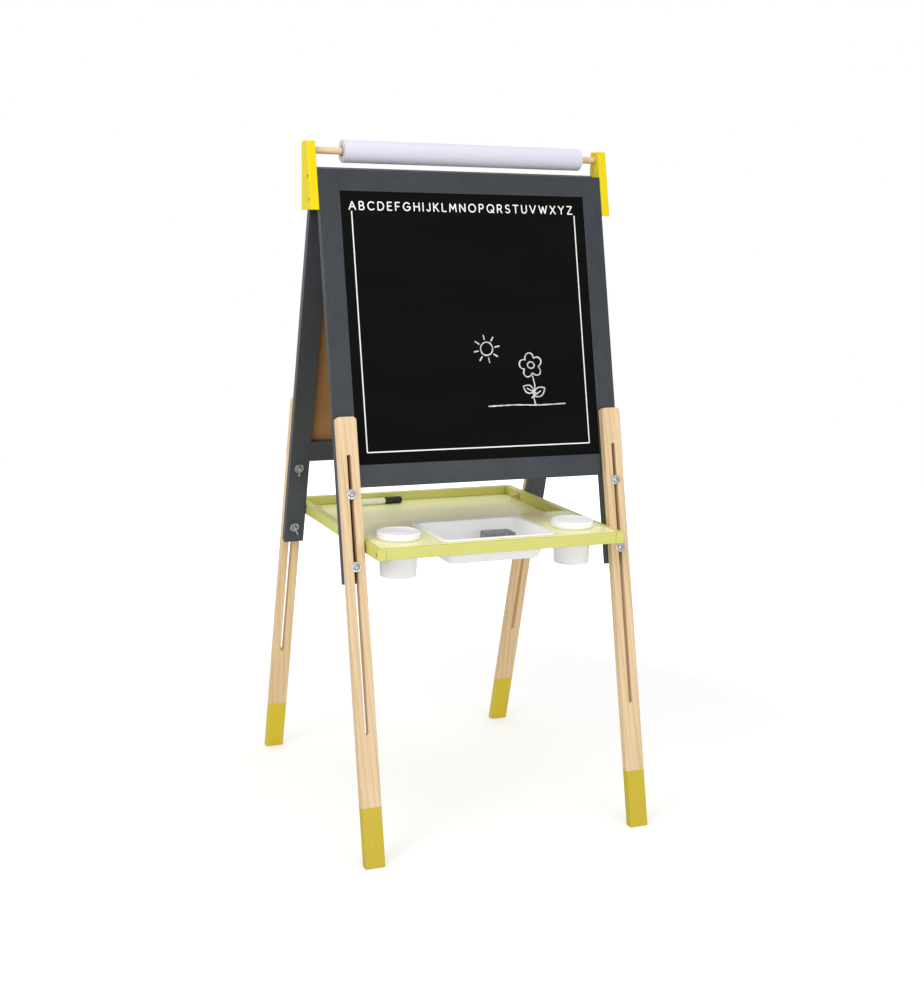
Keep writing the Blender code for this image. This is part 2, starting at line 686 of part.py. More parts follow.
def lid_profile():
    """The lid's closed outline: a flat cap with a skirt round the pot's neck."""
    low = TRAY_TOP_Z + POT_FLANGE_T + 2 * GAP
    inner = POT_LID_R - LID_WALL
    return [
        (0, LID_TOP_Z), (POT_LID_R - 0.0015, LID_TOP_Z), (POT_LID_R, LID_TOP_Z - 0.0012),
        (POT_LID_R, low), (inner, low), (inner, LID_TOP_Z - LID_WALL), (0, LID_TOP_Z - LID_WALL),
    ]


def pots(parent):
    """Two paint pots with lids, dropped through the deck."""
    for side, x in (("left", -POT_X), ("right", POT_X)):
        at = Vector((x, CENTRE + POT_BACK, 0))
        origin = at + Vector((0, 0, TRAY_TOP_Z))
        for name, profile in (("pot", pot_profile()), ("pot_lid", lid_profile())):
            shape = moved(lathe(profile, FINE_ROUND), at)
            add(f"{name}_{side}", shape, "white_plastic", parent, origin)


def basin(parent):
    """A rectangular tub with tapered walls and a flat lip that rests on the deck."""
    middle = (0, CENTRE + (BASIN_FRONT + BASIN_REAR) / 2)
    wide, deep = BASIN_HALF_WIDTH, (BASIN_REAR - BASIN_FRONT) / 2
    lip = TRAY_TOP_Z + GAP
    mouth_w, mouth_d = wide - BASIN_LIP, deep - BASIN_LIP
    base_w, base_d = mouth_w - BASIN_TAPER, mouth_d - BASIN_TAPER

    def ring(w, d, r, z):
        return round_rect(w, d, r, 3, middle), z

    rings = [
        ring(base_w - 0.003, base_d - 0.003, 0.010, BASIN_BASE_Z),
        ring(base_w, base_d, BASIN_CORNER_R, BASIN_BASE_Z + 0.004),
        ring(mouth_w, mouth_d, BASIN_CORNER_R, lip),
        ring(wide, deep, 0.014, lip),
        ring(wide, deep, 0.014, lip + 0.0018),
        ring(wide - 0.0015, deep - 0.0015, 0.013, lip + 0.0028),
        ring(mouth_w - BASIN_WALL, mouth_d - BASIN_WALL, 0.011, lip + 0.0028),
        ring(base_w - BASIN_WALL, base_d - BASIN_WALL, 0.010, BASIN_BASE_Z + 0.005),
        ring(base_w - 0.0045, base_d - 0.0045, 0.008, BASIN_BASE_Z + BASIN_WALL),
    ]
    add("basin", loft(rings), "white_plastic", parent, (middle[0], middle[1], TRAY_TOP_Z))


def eraser(parent):
    """A felt board eraser standing in the basin."""
    x, y = ERASER_AT[0], CENTRE + ERASER_AT[1]
    w, d, h = ERASER
    base = BASIN_BASE_Z + BASIN_WALL + GAP
    shape = box((x - w / 2, y - d / 2, base), (x + w / 2, y + d / 2, base + h))
    add("felt_eraser", shape, "felt", parent, (x, y, base), bevel=0.002)


def marker(parent):
    """A board marker lying at the back of the tray, its cap to the right."""
    floor = TRAY_TOP_Z - TRAY_T + FLOOR_T
    right = Vector((MARKER_AT[0], CENTRE + MARKER_AT[1], floor + MARKER_CAP_R + GAP))
    along = Vector((-math.cos(MARKER_YAW), -math.sin(MARKER_YAW), 0))
    cap = lathe([(0, 0), (MARKER_CAP_R - 0.001, 0), (MARKER_CAP_R, 0.001),
                 (MARKER_CAP_R, MARKER_CAP_LENGTH), (MARKER_CAP_BORE, MARKER_CAP_LENGTH),
                 (MARKER_CAP_BORE, 0.0015), (0, 0.0015)])
    add("marker_cap", turned(cap, along, right), "black_plastic", parent, right)
    neck = MARKER_CAP_BORE - 0.0004
    shoulder = MARKER_CAP_LENGTH + GAP
    barrel = lathe([(0, 0.004), (0.0015, 0.004), (0.0022, 0.010), (neck, 0.014),
                    (neck, shoulder), (MARKER_R, shoulder), (MARKER_R, MARKER_LENGTH - 0.004),
                    (MARKER_R - 0.0015, MARKER_LENGTH), (0, MARKER_LENGTH)])
    add("marker_barrel", turned(barrel, along, right), "white_plastic", parent, right)


def build():
    """The whole easel, in an empty scene."""
    for thing in list(bpy.data.objects):
        bpy.data.objects.remove(thing)
    front = empty("front_half", None, FRONT_FRAME.to_translation(), FRONT_FRAME.to_euler())
    pin = Vector((0, *hinge_pin()))
    fold = empty("fold_axis", None, pin)
    rear = empty("rear_half", fold, REAR_FRAME.to_translation() - pin, REAR_FRAME.to_euler())
    frame_half(FRONT, front)
    frame_half(REAR, rear)
    panel(FRONT, "chalkboard", "chalkboard_paint", front)
    panel(REAR, "whiteboard", "white_laminate", rear)
    for side, x in (("left", -1), ("right", 1)):
        hinge_pin_piece(f"hinge_pin_{side}", x, None)
        bracket(side == "left")
    roll(empty("roll_axis", location=(0, CENTRE + DOWEL_BACK, DOWEL_Z)))
    for make in (tray_frame, tray_pegs, tray_panels, pots, basin, eraser, marker):
        make(None)


build()
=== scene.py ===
"""A children's two-sided easel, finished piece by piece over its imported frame.

Metres, +Z up. X runs across the easel and -Y is its chalkboard side. Every sub-assembly is a
class that shapes its pieces, gives them their finishes and lets them ride on the frame's bodies.
"""
import json
import logging
import math
from collections.abc import Callable, Iterable, Sequence
from dataclasses import dataclass, field
from enum import Enum

import bmesh
import bpy
from mathutils import Matrix, Vector, noise


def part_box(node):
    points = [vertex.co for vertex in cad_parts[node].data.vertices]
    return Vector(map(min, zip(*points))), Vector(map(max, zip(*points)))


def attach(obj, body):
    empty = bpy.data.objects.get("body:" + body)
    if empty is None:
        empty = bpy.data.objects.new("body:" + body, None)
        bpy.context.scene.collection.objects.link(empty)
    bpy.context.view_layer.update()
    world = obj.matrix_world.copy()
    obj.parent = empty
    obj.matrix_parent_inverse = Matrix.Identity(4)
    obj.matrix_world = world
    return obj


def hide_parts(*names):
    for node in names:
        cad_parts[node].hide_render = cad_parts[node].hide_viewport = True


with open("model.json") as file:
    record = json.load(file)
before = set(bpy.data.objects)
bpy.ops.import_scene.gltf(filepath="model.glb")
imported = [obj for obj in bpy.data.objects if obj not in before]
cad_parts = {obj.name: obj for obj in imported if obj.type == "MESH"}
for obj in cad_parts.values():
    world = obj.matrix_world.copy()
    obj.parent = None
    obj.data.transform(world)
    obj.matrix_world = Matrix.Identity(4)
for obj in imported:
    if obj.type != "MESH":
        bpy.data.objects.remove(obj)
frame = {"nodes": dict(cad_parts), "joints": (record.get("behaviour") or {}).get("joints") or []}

LOG = logging.getLogger("easel")

Point2 = tuple[float, float]
Outline = list[Point2]
Object = bpy.types.Object
Material = bpy.types.Material
Tree = bpy.types.NodeTree

MM = 0.001
GAP = 0.3 * MM                # air between pieces that touch on the real easel
BOARD_T = 15 * MM             # thickness of the frames' boards
SIDES = (("left", -1), ("right", 1))
HALVES = ("front", "rear")
ROWS = ("upper", "lower")


# ---------------------------------------------------------------- the frame's own facts


def joint(name: str) -> dict:
    """The frame's joint of that name."""
    return next(found for found in frame["joints"] if found["name"] == name)


def middle(node: str) -> Vector:
    """The centre of a frame piece's box."""
    low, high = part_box(node)
    return (low + high) / 2


@dataclass(frozen=True)
class Half:
    """One half of the easel: its own axes run across, inwards through the boards, and up.

    Attributes:
        name: "front" or "rear", as its pieces are named.
        bolts: how far down the stile the two leg bolts sit.
        leg_top: how far down the stile the legs start.
        slot: where the legs' slots start and end, down the stile.
    """

    name: str
    bolts: Point2
    leg_top: float
    slot: Point2

    @property
    def matrix(self) -> Matrix:
        """Where the half stands: its origin is the top edge of its outer face."""
        nut = joint(f"{self.name}_wing_nut_left_upper_turn")
        inwards = Vector(nut["axis"]).normalized()
        across = Vector((1 if self.name == "front" else -1, 0, 0))
        up = across.cross(inwards)
        basis = Matrix((across, inwards, up)).transposed().to_4x4()
        origin = Vector(nut["pos_m"]) - inwards * (BOARD_T + GAP) + up * self.bolts[0]
        origin.x = 0
        return Matrix.Translation(origin) @ basis

    def place(self, x: float, depth: float, down: float) -> Vector:
        """A point of this half in the easel's frame.

        Args:
            x: across the easel, to the right from the chalkboard side.
            depth: inwards from the outer face.
            down: down the stile from its top end.
        """
        turned = x if self.name == "front" else -x
        return self.matrix @ Vector((turned, depth, -down))

    @property
    def inwards(self) -> Vector:
        """The direction through the boards, towards the middle of the easel."""
        return self.matrix.to_3x3() @ Vector((0, 1, 0))

    @property
    def tilt(self) -> float:
        """How far the half's up axis leans from upright, about X."""
        up = self.matrix.to_3x3() @ Vector((0, 0, 1))
        return math.atan2(up.y, up.z)


FRONT = Half("front", (0.566, 0.691), 0.4325, (0.498, 0.979))
REAR = Half("rear", (0.5733, 0.698), 0.4385, (0.505, 0.986))


# ---------------------------------------------------------------- finishes


def linear(code: str) -> tuple[float, float, float, float]:
    """An sRGB hex colour as linear light with full alpha.

    Args:
        code: six hex digits after a hash.

    Returns:
        Red, green, blue and alpha.
    """
    values = [int(code[i : i + 2], 16) / 255 for i in (1, 3, 5)]
    light = [v / 12.92 if v <= 0.04045 else ((v + 0.055) / 1.055) ** 2.4 for v in values]
    return (*light, 1.0)


def add_node(tree: Tree, kind: str, sockets: dict | None = None, **settings) -> bpy.types.Node:
    """Adds a node to a tree, sets it up and fills or links its inputs.

    Args:
        tree: the material's or the geometry's node tree.
        kind: the node's type name.
        sockets: values or output sockets by input name or number.
        settings: the node's own properties.

    Returns:
        The new node.
    """
    made = tree.nodes.new(kind)
    for key, value in settings.items():
        setattr(made, key, value)
    for key, value in (sockets or {}).items():
        if isinstance(value, bpy.types.NodeSocket):
            tree.links.new(value, made.inputs[key])
        else:
            made.inputs[key].default_value = value
    return made


class Grain(Enum):
    """Which way a board's fibres run, as the turn about X and the stretched axis."""

    ACROSS = "across"
    UP_FRONT = "up the front half"
    UP_REAR = "up the rear half"
    BACKWARDS = "backwards"

    @property
    def turn(self) -> float:
        """The tilt of the fibres about X."""
        return {Grain.UP_FRONT: FRONT.tilt, Grain.UP_REAR: REAR.tilt}.get(self, 0.0)

    @property
    def stretch(self) -> Callable[[float], tuple[float, float, float]]:
        """A scale that draws a pattern out along the fibres."""
        along = {Grain.ACROSS: 0, Grain.BACKWARDS: 1}.get(self, 2)
        return lambda share: tuple(share if i == along else 1.0 for i in range(3))


@dataclass(frozen=True)
class Finish:
    """What a surface is made of and how it was made.

    Attributes:
        name: the material's name.
        colour: the surface's main sRGB colour.
        roughness: the middle of its roughness.
        ior: the index of refraction of its outer layer.
    """

    name: str
    colour: str
    roughness: float
    ior: float = 1.5

    def material(self) -> Material:
        """The finish as a material, made the first time it is asked for."""
        found = bpy.data.materials.get(self.name)
        if found:
            return found
        made = bpy.data.materials.new(self.name)
        made.use_nodes = True
        made.diffuse_color = linear(self.colour)
        tree = made.node_tree
        shader = tree.nodes["Principled BSDF"]
        shader.inputs["IOR"].default_value = self.ior
        where = add_node(tree, "ShaderNodeTexCoord").outputs["Object"]
        self.dress(tree, shader, where)
        return made

    def dress(self, tree: Tree, shader: bpy.types.Node, where: bpy.types.NodeSocket) -> None:
        """Joins the finish's patterns to the shader.

        Args:
            tree: the material's nodes.
            shader: its Principled BSDF.
            where: the surface's place in the easel's frame.
        """
        raise NotImplementedError

    def speckle(
        self, tree: Tree, where: bpy.types.NodeSocket, size: float, detail: float = 3.0
    ) -> bpy.types.NodeSocket:
        """Cloudy noise whose patches are about one size.

        Args:
            tree: the material's nodes.
            where: the place it is read at.
            size: the patches' size in metres.
            detail: how many finer layers it has.

        Returns:
            The noise, from 0 to 1.
        """
        sockets = {"Vector": where, "Scale": 1 / size, "Detail": detail}
        return add_node(tree, "ShaderNodeTexNoise", sockets).outputs["Fac"]

    def blend(
        self, tree: Tree, share: bpy.types.NodeSocket | float, first: object, second: object
    ) -> bpy.types.NodeSocket:
        """A colour between two others, each a hex code or a socket.

        Args:
            tree: the material's nodes.
            share: how much of the second there is.
            first: the colour at 0.
            second: the colour at 1.

        Returns:
            The mixed colour.
        """
        ends = [linear(end) if isinstance(end, str) else end for end in (first, second)]
        sockets = {0: share, 6: ends[0], 7: ends[1]}
        return add_node(tree, "ShaderNodeMix", sockets, data_type="RGBA").outputs[2]

    def spread(
        self,
        tree: Tree,
        value: bpy.types.NodeSocket,
        low: float,
        high: float,
        source: Point2 = (0.3, 0.7),
    ) -> bpy.types.NodeSocket:
        """A pattern's usual span moved to new ends, clamped.

        Args:
            tree: the material's nodes.
            value: the pattern.
            low: what its low end becomes.
            high: what its high end becomes.
            source: the pattern's usual span.

        Returns:
            The new value.
        """
        sockets = {"Value": value, 1: source[0], 2: source[1], 3: low, 4: high}
        return add_node(tree, "ShaderNodeMapRange", sockets).outputs[0]

    def relief(
        self, tree: Tree, shader: bpy.types.Node, height: bpy.types.NodeSocket, depth: float
    ) -> None:
        """Raises a pattern on the surface by a real depth in metres.

        Args:
            tree: the material's nodes.
            shader: the shader whose normal it bends.
            height: the pattern.
            depth: how far its top stands above its bottom.
        """
        bump = add_node(tree, "ShaderNodeBump", {"Height": height, "Distance": depth, "Strength": 1.0})
        tree.links.new(bump.outputs[0], shader.inputs["Normal"])


@dataclass(frozen=True)
class PaintedWood(Finish):
    """Water-based paint rolled on planed wood: satin, with the grain showing faintly through.

    Attributes:
        grain: which way the board under the paint runs.
        wear: the colour that the paint leans to where it is thin.
        gloss: how strongly the paint's skin shines, half for a usual one.
        depth: how far the grain stands up through the paint.
    """

    grain: Grain = Grain.ACROSS
    wear: str = "#777777"
    gloss: float = 0.5
    depth: float = 0.06 * MM

    def dress(self, tree: Tree, shader: bpy.types.Node, where: bpy.types.NodeSocket) -> None:
        """Satin paint: fibres 0.5 mm apart under it, and the roller's 1.2 mm stipple over it."""
        turned = add_node(
            tree, "ShaderNodeMapping", {"Vector": where, "Rotation": (self.grain.turn, 0, 0)}
        ).outputs[0]
        along = add_node(
            tree, "ShaderNodeMapping", {"Vector": turned, "Scale": self.grain.stretch(0.03)}
        ).outputs[0]
        fibre = self.speckle(tree, along, 1.1 * MM, 4)
        stipple = self.speckle(tree, where, 1.6 * MM, 2)
        cloud = self.speckle(tree, where, 60 * MM, 2)
        tone = self.blend(tree, self.spread(tree, fibre, 0.0, 0.10), self.colour, self.wear)
        tone = self.blend(tree, self.spread(tree, cloud, 0.0, 0.07), tone, self.wear)
        tree.links.new(tone, shader.inputs["Base Color"])
        rough = self.spread(tree, stipple, self.roughness - 0.05, self.roughness + 0.07)
        tree.links.new(rough, shader.inputs["Roughness"])
        shader.inputs["Specular IOR Level"].default_value = self.gloss
        both = add_node(
            tree, "ShaderNodeMath", {0: fibre, 1: stipple}, operation="ADD"
        ).outputs[0]
        self.relief(tree, shader, both, self.depth)


@dataclass(frozen=True)
class SealedPine(Finish):
    """Planed pine under a clear sealer: pale early wood with darker year rings along the board.

    Attributes:
        grain: which way the fibres run.
        rings: the colour of the year rings.
        ring_gap: how far apart the rings are.
    """

    grain: Grain = Grain.UP_FRONT
    rings: str = "#CFA066"
    ring_gap: float = 5.5 * MM

    def dress(self, tree: Tree, shader: bpy.types.Node, where: bpy.types.NodeSocket) -> None:
        """Year rings a few millimetres apart, fine fibres, and short brown resin flecks."""
        turned = add_node(
            tree, "ShaderNodeMapping", {"Vector": where, "Rotation": (self.grain.turn, 0, 0)}
        ).outputs[0]
        scales = {name: self.grain.stretch(share) for name, share in (("ring", 0.055), ("fine", 0.012))}
        slow = add_node(tree, "ShaderNodeMapping", {"Vector": turned, "Scale": scales["ring"]}).outputs[0]
        fast = add_node(tree, "ShaderNodeMapping", {"Vector": turned, "Scale": scales["fine"]}).outputs[0]
        wave = add_node(
            tree,
            "ShaderNodeTexWave",
            {
                "Vector": slow,
                "Scale": math.tau / (20 * self.ring_gap),
                "Distortion": 3.4,
                "Detail": 2.0,
                "Detail Scale": 0.35,
            },
            bands_direction="DIAGONAL",
            wave_profile="SAW",
        ).outputs["Fac"]
        fibre = self.speckle(tree, fast, 0.5 * MM, 3)
        patch = self.speckle(tree, slow, 14 * MM, 2)
        ring = self.spread(tree, wave, 0.0, 0.50, (0.35, 1.0))
        tone = self.blend(tree, ring, self.colour, self.rings)
        tone = self.blend(tree, self.spread(tree, fibre, 0.0, 0.30), tone, self.rings)
        tone = self.blend(tree, self.spread(tree, patch, 0.0, 0.35), tone, "#F6DFB9")
        fleck = self.spread(tree, self.speckle(tree, fast, 2.2 * MM, 1), 0.0, 0.5, (0.70, 0.78))
        tone = self.blend(tree, fleck, tone, "#A9713C")
        tree.links.new(tone, shader.inputs["Base Color"])
        rough = self.spread(tree, fibre, self.roughness - 0.06, self.roughness + 0.08)
        tree.links.new(rough, shader.inputs["Roughness"])
        self.relief(tree, shader, fibre, 0.05 * MM)


@dataclass(frozen=True)
class ChalkboardPaint(Finish):
    """Matt black board paint on hardboard: near black, with old chalk dust wiped into it."""

    def dress(self, tree: Tree, shader: bpy.types.Node, where: bpy.types.NodeSocket) -> None:
        """Wiped dust in broad strokes, and the paint's 0.8 mm tooth, which holds the chalk."""
        wiped = add_node(
            tree,
            "ShaderNodeMapping",
            {"Vector": where, "Rotation": (0, math.radians(28), 0), "Scale": (0.25, 1.0, 1.0)},
        ).outputs[0]
        dust = self.speckle(tree, wiped, 70 * MM, 5)
        tooth = self.speckle(tree, where, 0.8 * MM, 2)
        tone = self.blend(tree, self.spread(tree, dust, 0.0, 0.008), self.colour, "#8C9290")
        tone = self.blend(tree, self.spread(tree, tooth, 0.0, 0.005), tone, "#A0A0A0")
        tree.links.new(tone, shader.inputs["Base Color"])
        rough = self.spread(tree, dust, self.roughness, self.roughness + 0.12)
        tree.links.new(rough, shader.inputs["Roughness"])
        self.relief(tree, shader, tooth, 0.02 * MM)
        shader.inputs["Specular IOR Level"].default_value = 0.05


@dataclass(frozen=True)
class DryEraseLaminate(Finish):
    """Glossy white melamine on hardboard: a hard bright film over a very slightly wavy board."""

    def dress(self, tree: Tree, shader: bpy.types.Node, where: bpy.types.NodeSocket) -> None:
        """A film whose waves are 40 mm long and too shallow to see, except in what it reflects."""
        wave = self.speckle(tree, where, 40 * MM, 1)
        smear = self.speckle(tree, where, 110 * MM, 4)
        tone = self.blend(tree, self.spread(tree, smear, 0.0, 0.06), self.colour, "#C9CDD2")
        tree.links.new(tone, shader.inputs["Base Color"])
        rough = self.spread(tree, smear, self.roughness, self.roughness + 0.12)
        tree.links.new(rough, shader.inputs["Roughness"])
        self.relief(tree, shader, wave, 0.05 * MM)


@dataclass(frozen=True)
class Hardboard(Finish):
    """The back of pressed hardboard: brown fibres with a fine screen mark."""

    def dress(self, tree: Tree, shader: bpy.types.Node, where: bpy.types.NodeSocket) -> None:
        """Short fibres in two browns, and the press screen's 1.5 mm mesh."""
        fibre = self.speckle(tree, where, 1.4 * MM, 5)
        cloud = self.speckle(tree, where, 45 * MM, 2)
        tone = self.blend(tree, self.spread(tree, fibre, 0.0, 0.6), self.colour, "#8A5E31")
        tone = self.blend(tree, self.spread(tree, cloud, 0.0, 0.3), tone, "#C2935B")
        tree.links.new(tone, shader.inputs["Base Color"])
        screen = add_node(
            tree, "ShaderNodeTexVoronoi", {"Vector": where, "Scale": 1 / (1.5 * MM)}
        ).outputs["Distance"]
        shader.inputs["Roughness"].default_value = self.roughness
        self.relief(tree, shader, screen, 0.10 * MM)


@dataclass(frozen=True)
class ZincPlate(Finish):
    """Bright zinc plating on pressed steel: pale grey metal with a soft, slightly cloudy gloss."""

    def dress(self, tree: Tree, shader: bpy.types.Node, where: bpy.types.NodeSocket) -> None:
        """Plating whose clouds are 3 mm across, over fine drawing marks."""
        cloud = self.speckle(tree, where, 3 * MM, 3)
        mark = self.speckle(tree, where, 0.4 * MM, 2)
        tone = self.blend(tree, self.spread(tree, cloud, 0.0, 0.5), self.colour, "#A3A6AA")
        tree.links.new(tone, shader.inputs["Base Color"])
        rough = self.spread(tree, cloud, self.roughness - 0.06, self.roughness + 0.12)
        tree.links.new(rough, shader.inputs["Roughness"])
        shader.inputs["Metallic"].default_value = 1.0
        self.relief(tree, shader, mark, 0.01 * MM)


@dataclass(frozen=True)
class Polypropylene(Finish):
    """White injection-moulded polypropylene: milky, so that light glows a little way into it."""

    glow: float = 0.25

    def dress(self, tree: Tree, shader: bpy.types.Node, where: bpy.types.NodeSocket) -> None:
        """A satin skin from a spark-eroded mould, 0.5 mm grit, with faint flow clouds."""
        flow = self.speckle(tree, where, 24 * MM, 2)
        grit = self.speckle(tree, where, 0.5 * MM, 2)
        tone = self.blend(tree, self.spread(tree, flow, 0.0, 0.10), self.colour, "#D9DDE4")
        tree.links.new(tone, shader.inputs["Base Color"])
        rough = self.spread(tree, grit, self.roughness - 0.05, self.roughness + 0.06)
        tree.links.new(rough, shader.inputs["Roughness"])
        shader.inputs["Subsurface Weight"].default_value = self.glow
        shader.inputs["Subsurface Radius"].default_value = (1.0, 0.95, 0.9)
        shader.inputs["Subsurface Scale"].default_value = 4 * MM
        self.relief(tree, shader, grit, 0.015 * MM)


@dataclass(frozen=True)
class MouldedStyrene(Finish):
    """Glossy moulded plastic of the marker: hard highlights with a few handling marks."""

    def dress(self, tree: Tree, shader: bpy.types.Node, where: bpy.types.NodeSocket) -> None:
        """Handling marks 6 mm long over a plain gloss."""
        marks = self.speckle(tree, where, 6 * MM, 4)
        tone = self.blend(tree, self.spread(tree, marks, 0.0, 0.04), self.colour, "#8C8C8C")
        tree.links.new(tone, shader.inputs["Base Color"])
        rough = self.spread(tree, marks, self.roughness - 0.05, self.roughness + 0.12)
        tree.links.new(rough, shader.inputs["Roughness"])
        self.relief(tree, shader, marks, 0.01 * MM)


@dataclass(frozen=True)
class DrawingPaper(Finish):
    """Uncoated drawing paper: cool white, dry, with a faint tooth and shallow cockling."""

    def dress(self, tree: Tree, shader: bpy.types.Node, where: bpy.types.NodeSocket) -> None:
        """Fibres 0.6 mm long, and soft cockles drawn out round the roll."""
        fibre = self.speckle(tree, where, 0.6 * MM, 4)
        cockle_at = add_node(
            tree, "ShaderNodeMapping", {"Vector": where, "Scale": (1.0, 0.3, 0.3)}
        ).outputs[0]
        cockle = self.speckle(tree, cockle_at, 22 * MM, 2)
        tone = self.blend(tree, self.spread(tree, fibre, 0.0, 0.10), self.colour, "#CFCBDA")
        tone = self.blend(tree, self.spread(tree, cockle, 0.0, 0.22), tone, "#D8D4E4")
        tree.links.new(tone, shader.inputs["Base Color"])
        shader.inputs["Roughness"].default_value = self.roughness
        mixed = add_node(
            tree, "ShaderNodeMath", {0: cockle, 1: 6.0, 2: fibre}, operation="MULTIPLY_ADD"
        ).outputs[0]
        self.relief(tree, shader, mixed, 0.05 * MM)


@dataclass(frozen=True)
class CardTube(Finish):
    """Spiral-wound grey-brown card: matt, with short fibres and the winding's seams."""

    def dress(self, tree: Tree, shader: bpy.types.Node, where: bpy.types.NodeSocket) -> None:
        """Fibres 1 mm long in two browns."""
        fibre = self.speckle(tree, where, 1.0 * MM, 4)
        tone = self.blend(tree, self.spread(tree, fibre, 0.0, 0.5), self.colour, "#8E7150")
        tree.links.new(tone, shader.inputs["Base Color"])
        shader.inputs["Roughness"].default_value = self.roughness
        self.relief(tree, shader, fibre, 0.06 * MM)


@dataclass(frozen=True)
class WoolFelt(Finish):
    """Pressed wool felt in mixed greys: soft, with a light fuzz that catches the light."""

    fleck: str = "#A6A8AA"

    def dress(self, tree: Tree, shader: bpy.types.Node, where: bpy.types.NodeSocket) -> None:
        """Tangled fibres of about 0.7 mm in two greys, with a fuzzy sheen."""
        fibre = self.speckle(tree, where, 1.2 * MM, 5)
        tone = self.blend(tree, self.spread(tree, fibre, 0.0, 0.85, (0.42, 0.66)), self.colour, self.fleck)
        tree.links.new(tone, shader.inputs["Base Color"])
        shader.inputs["Roughness"].default_value = self.roughness
        shader.inputs["Sheen Weight"].default_value = 0.35
        shader.inputs["Sheen Roughness"].default_value = 0.5
        self.relief(tree, shader, fibre, 0.3 * MM)


@dataclass(frozen=True)
class ScreenInk(Finish):
    """White screen-printing ink: flat and opaque, thin enough to show the board's tooth."""

    def dress(self, tree: Tree, shader: bpy.types.Node, where: bpy.types.NodeSocket) -> None:
        """The board's 0.8 mm tooth shows as small grey pinholes."""
        tooth = self.speckle(tree, where, 0.8 * MM, 2)
        tone = self.blend(tree, self.spread(tree, tooth, 0.0, 0.22, (0.5, 0.75)), self.colour, "#7C7F80")
        tree.links.new(tone, shader.inputs["Base Color"])
        shader.inputs["Roughness"].default_value = self.roughness


@dataclass(frozen=True)
class ChalkMark(Finish):
    """White stick chalk dragged over the board: powdery and broken where the paint's tooth skips."""

    gaps: str = "#3A3C3B"

    def dress(self, tree: Tree, shader: bpy.types.Node, where: bpy.types.NodeSocket) -> None:
        """Powder broken by skips of about 1 mm, fainter over long stretches of a stroke."""
        skip = self.speckle(tree, where, 1.1 * MM, 3)
        press = self.speckle(tree, where, 30 * MM, 2)
        worn = self.blend(tree, self.spread(tree, press, 0.0, 0.45), self.colour, "#8D908F")
        tone = self.blend(tree, self.spread(tree, skip, 0.0, 0.85, (0.54, 0.68)), worn, self.gaps)
        tree.links.new(tone, shader.inputs["Base Color"])
        shader.inputs["Roughness"].default_value = self.roughness


@dataclass(frozen=True)
class StudioFloor(Finish):
    """A white seamless floor, lifted to full white where nothing shades it.

    Attributes:
        lift: the white added near the easel, for the camera only.
        near: the radius that the lift starts to grow from.
        far: the radius beyond which the floor is full white by itself.
    """

    lift: float = 0.36
    near: float = 0.9
    far: float = 2.2

    def dress(self, tree: Tree, shader: bpy.types.Node, where: bpy.types.NodeSocket) -> None:
        """Plain matt white, whose lift grows outwards until no horizon shows."""
        shader.inputs["Base Color"].default_value = linear(self.colour)
        shader.inputs["Roughness"].default_value = self.roughness
        shader.inputs["Specular IOR Level"].default_value = 0.0
        out = add_node(tree, "ShaderNodeVectorMath", {0: where}, operation="LENGTH").outputs["Value"]
        glow = self.spread(tree, out, self.lift, 1.0, (self.near, self.far))
        seen = add_node(tree, "ShaderNodeLightPath").outputs["Is Camera Ray"]
        level = add_node(tree, "ShaderNodeMath", {0: glow, 1: seen}, operation="MULTIPLY").outputs[0]
        shader.inputs["Emission Color"].default_value = (1.0, 1.0, 1.0, 1.0)
        tree.links.new(level, shader.inputs["Emission Strength"])


GREY, GREY_WORN = "#1D232A", "#666C75"
# Painted light: the rear frame's grey is lighter than the front's, standing in for the light that reaches its inner
# face.
REAR_GREY_PAINTED_FILL = "#3B3F44"
YELLOW, YELLOW_WORN = "#E3CC00", "#EEDD1C"
FRONT_FOOT, REAR_FOOT, FOOT_WORN = "#C4AC0C", "#DEC322", "#E6D660"
LIME, LIME_WORN = "#D2D16A", "#E9E8B4"
# Painted light: the deck and floor's lime is paler, standing in for reflected white surroundings and the light that
# reaches into the tray.
LIME_PAINTED_LIGHT = "#F8F6B6"


def grey_paint(grain: Grain, half: str = "front") -> PaintedWood:
    """A half's anthracite paint over boards that run one way; the rear half's colour is lighter as painted light,
    standing in for the fill light on the rear frame's inner face.
    """
    half_colour = GREY if half == "front" else REAR_GREY_PAINTED_FILL
    return PaintedWood(f"{half}_anthracite_{grain.name.lower()}", half_colour, 0.46, 1.5, grain, GREY_WORN)


def lime_paint(grain: Grain) -> PaintedWood:
    """The tray's lime paint over boards that run one way."""
    return PaintedWood(f"lime_paint_{grain.name.lower()}", LIME, 0.40, 1.5, grain, LIME_WORN)


def lime_paint_lightened(grain: Grain) -> PaintedWood:
    """The tray's lime paint on the deck and floor: glossier, and paler as painted light, standing in for the white
    surroundings' reflection and the light that reaches into the tray.
    """
    return PaintedWood(f"pale_lime_paint_{grain.name.lower()}", LIME_PAINTED_LIGHT, 0.30, 1.5, grain, "#F4F2D2")


